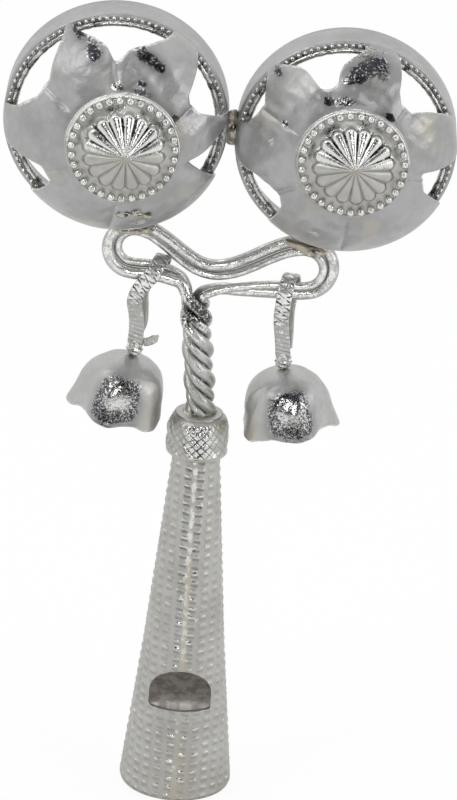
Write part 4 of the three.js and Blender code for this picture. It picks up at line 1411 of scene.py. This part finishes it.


# Each head's petals: the outline as (degrees round from the right, share of the radius), where a share of 1 is
# on the rim; the directions of the creases; the burnished places, with their painted dark reflections; the
# rosette's rise and turn; and how far the dome leans.
LEFT_PETALS = {
    "cut": (
        (4, 0.86), (8, 1), (11, 1), (16, 0.875), (24.5, 0.728), (33.5, 0.695), (40, 0.735), (43, 0.86),
        (47, 1), (63, 1), (67.5, 0.948), (78.5, 0.87), (88, 0.815), (93, 0.748), (97, 0.715), (98.5, 0.77),
        (100.5, 0.845), (107, 0.915), (113, 0.962), (116, 1), (120, 1), (123.5, 0.965), (134, 0.887),
        (143, 0.808), (156, 0.815), (169, 0.93), (173, 1), (193, 1), (198, 0.85), (203, 0.745),
        (215, 0.73), (219, 0.86), (222, 1), (336, 1), (341, 0.80), (343.5, 0.70), (348, 0.585),
        (356, 0.72),
    ),
    "creases": (31, 97, 148, 208, 268, 346),
    "spots": (
        Spot(109.5, 0.833, 0.075, 1.0),
        Spot(79, 0.81, 0.045, 1.0, 1.5),
        Spot(72, 0.79, 0.045, 0.9, 1.3),
        Spot(65.5, 0.77, 0.045, 0.9, 1.1),
        Spot(77, 0.61, 0.030, 0.9, 2.0),
        Spot(75, 0.54, 0.03, 0.9, 3.0),
        Spot(33, 0.54, 0.04, 0.9, 1.4),
        Spot(97.5, 0.56, 0.035, 1.0, 1.8, 0.1),
        Spot(114.5, 0.97, 0.04, 0.9),
        Spot(284, 0.80, 0.05, 0.9, 1.6, 0.3),
        Spot(280, 0.92, 0.04, 0.8, 2.2, 0.3),
        Spot(180, 0.80, 0.10, 0.25, 1.0, 0.1),
    ),
    "rise": 1.65,
    "flute_turn": 0.10,
    "shift": (1.6, -0.4),
}
RIGHT_PETALS = {
    "cut": (
        (2, 1), (22, 1), (27.5, 0.94), (36.5, 0.805), (44, 0.68), (54, 0.682), (60, 0.77), (61.5, 0.853),
        (63.5, 0.93), (66, 1), (82, 1), (85, 0.968), (97.5, 0.863), (101, 0.80), (102.5, 0.72),
        (109, 0.68), (114, 0.698), (117, 0.74), (118.5, 0.853), (121, 0.923), (129.5, 0.99), (131, 1),
        (139, 1), (142, 0.972), (152, 0.883), (158.5, 0.90), (166, 0.935), (170, 1), (190, 1),
        (193.5, 0.92), (196, 0.85), (204, 0.765), (213, 0.72), (221, 0.772), (224, 0.85), (228, 1),
        (333, 1), (338, 0.72), (350, 0.64), (354, 0.645), (356, 0.80), (359, 0.95),
    ),
    "creases": (49, 110, 155, 211, 270, 346),
    "spots": (
        Spot(79, 0.875, 0.09, 1.1, 1.5, 1.0),
        Spot(89.5, 0.787, 0.07, 1.0, 1.2, 0.8),
        Spot(97, 0.745, 0.035, 1.0, 1.2, 0.1),
        Spot(115, 0.615, 0.045, 0.9, 1.2, 0.6),
        Spot(100, 0.58, 0.045, 0.9, 2.6, 0.6),
        Spot(56, 0.55, 0.045, 0.9, 1.6, 0.8),
        Spot(133.5, 0.97, 0.035, 0.9),
        Spot(153.5, 0.677, 0.04, 0.8, 1.0, 0.6),
        Spot(171, 0.72, 0.05, 0.5, 1.0, 0.2),
        Spot(250, 0.80, 0.05, 0.5, 2.0, 0.2),
    ),
    "rise": 1.8,
    "flute_turn": -0.05,
    "shift": (1.05, 1.2),
}
LEFT_HANGER = {
    "drop": 11.0,
    "tilt": math.radians(4.5),
    "flare": 0.06,
    "out": -1,
    "top_shift": 1.6,
    "tail": True,
    "loop_rise": 2.5,
}
RIGHT_HANGER = {
    "drop": 9.8,
    "tilt": math.radians(-8.0),
    "flare": 0.0,
    "out": 1,
    "top_shift": 0.4,
    "tail": False,
    "loop_rise": 2.2,
}


def finishes() -> dict[str, bpy.types.Material]:
    """The finishes, by what they cover."""
    pale = {"frost": (0.50, 0.495, 0.47), "shade": (0.42, 0.412, 0.385)}
    solder = {"frost": (0.54, 0.51, 0.45), "shade": (0.43, 0.39, 0.32)}
    # the bells' and wires' near-black is the colour of their painted shade and painted dark reflections
    bell_looks = {"frost": (0.50, 0.502, 0.50), "shade": (0.44, 0.44, 0.43), "painted_dark": (0.07, 0.07, 0.078)}
    wire = {"frost": (0.56, 0.56, 0.545), "polish": (0.86, 0.86, 0.84), "shade": (0.45, 0.45, 0.43)}
    wire |= {"painted_dark": (0.07, 0.07, 0.07), "polish_roughness": 0.16, "frost_roughness": 0.38}
    made = {
        "petals": Silver("frosted_silver", share=0.03, spread=0.55),
        "bells": Silver("bell_silver", share=0.04, spread=0.6, speck_mm=0.28, **bell_looks),
        "beads": Silver("beaded_silver", share=0.05, swell_mm=0.9, swell_height=0.01, **pale),
        "wires": Silver("bright_wire_silver", share=0.06, **wire),
        "handle": Silver("handle_silver", swell_mm=1.0, swell_height=0.012, **pale),
        "solder": Silver("solder_silver", grain_height=0.012, swell_mm=0.7, **solder),
        "bore": Bore(),
    }
    return {part: finish.make() for part, finish in made.items()}


def main() -> None:
    """Builds the rattle from the handle up, then the studio."""
    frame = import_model()
    finish = finishes()

    handle = Handle()
    handle.build_cone(finish["handle"], finish["bore"])
    handle.build_collar(finish["handle"])
    plug = frame["nodes"]["whistle_plug"]
    plug.data.materials.clear()
    plug.data.materials.append(finish["bore"])

    bow = Bow(handle)
    bow.build(finish["wires"])
    sides, petals = ("left", "right"), (LEFT_PETALS, RIGHT_PETALS)
    for side, (x, z, _, _), radius, looks in zip(sides, bow.heads(), bow.radii, petals):
        Head(side, x, z, radius, **looks).build(finish["petals"], finish["beads"])
    bodies, shapes = (Body.LEFT_HANGER, Body.RIGHT_HANGER), (LEFT_HANGER, RIGHT_HANGER)
    for side, body, joint, shape in zip(sides, bodies, frame["joints"], shapes):
        axis = joint["axis"]
        lean = -math.atan2(axis[2], axis[0])
        pivot = tuple(v / MM for v in joint["pos_m"])
        Hanger(side, body, pivot, lean, **shape).build(finish["bells"], finish["wires"])
    Solder(bow).build(finish["solder"])

    Studio().build()
    settings = bpy.context.scene.view_settings
    settings.view_transform = "Standard"


if __name__ == "__main__":
    logging.basicConfig(level=logging.INFO, format="%(message)s")
    main()
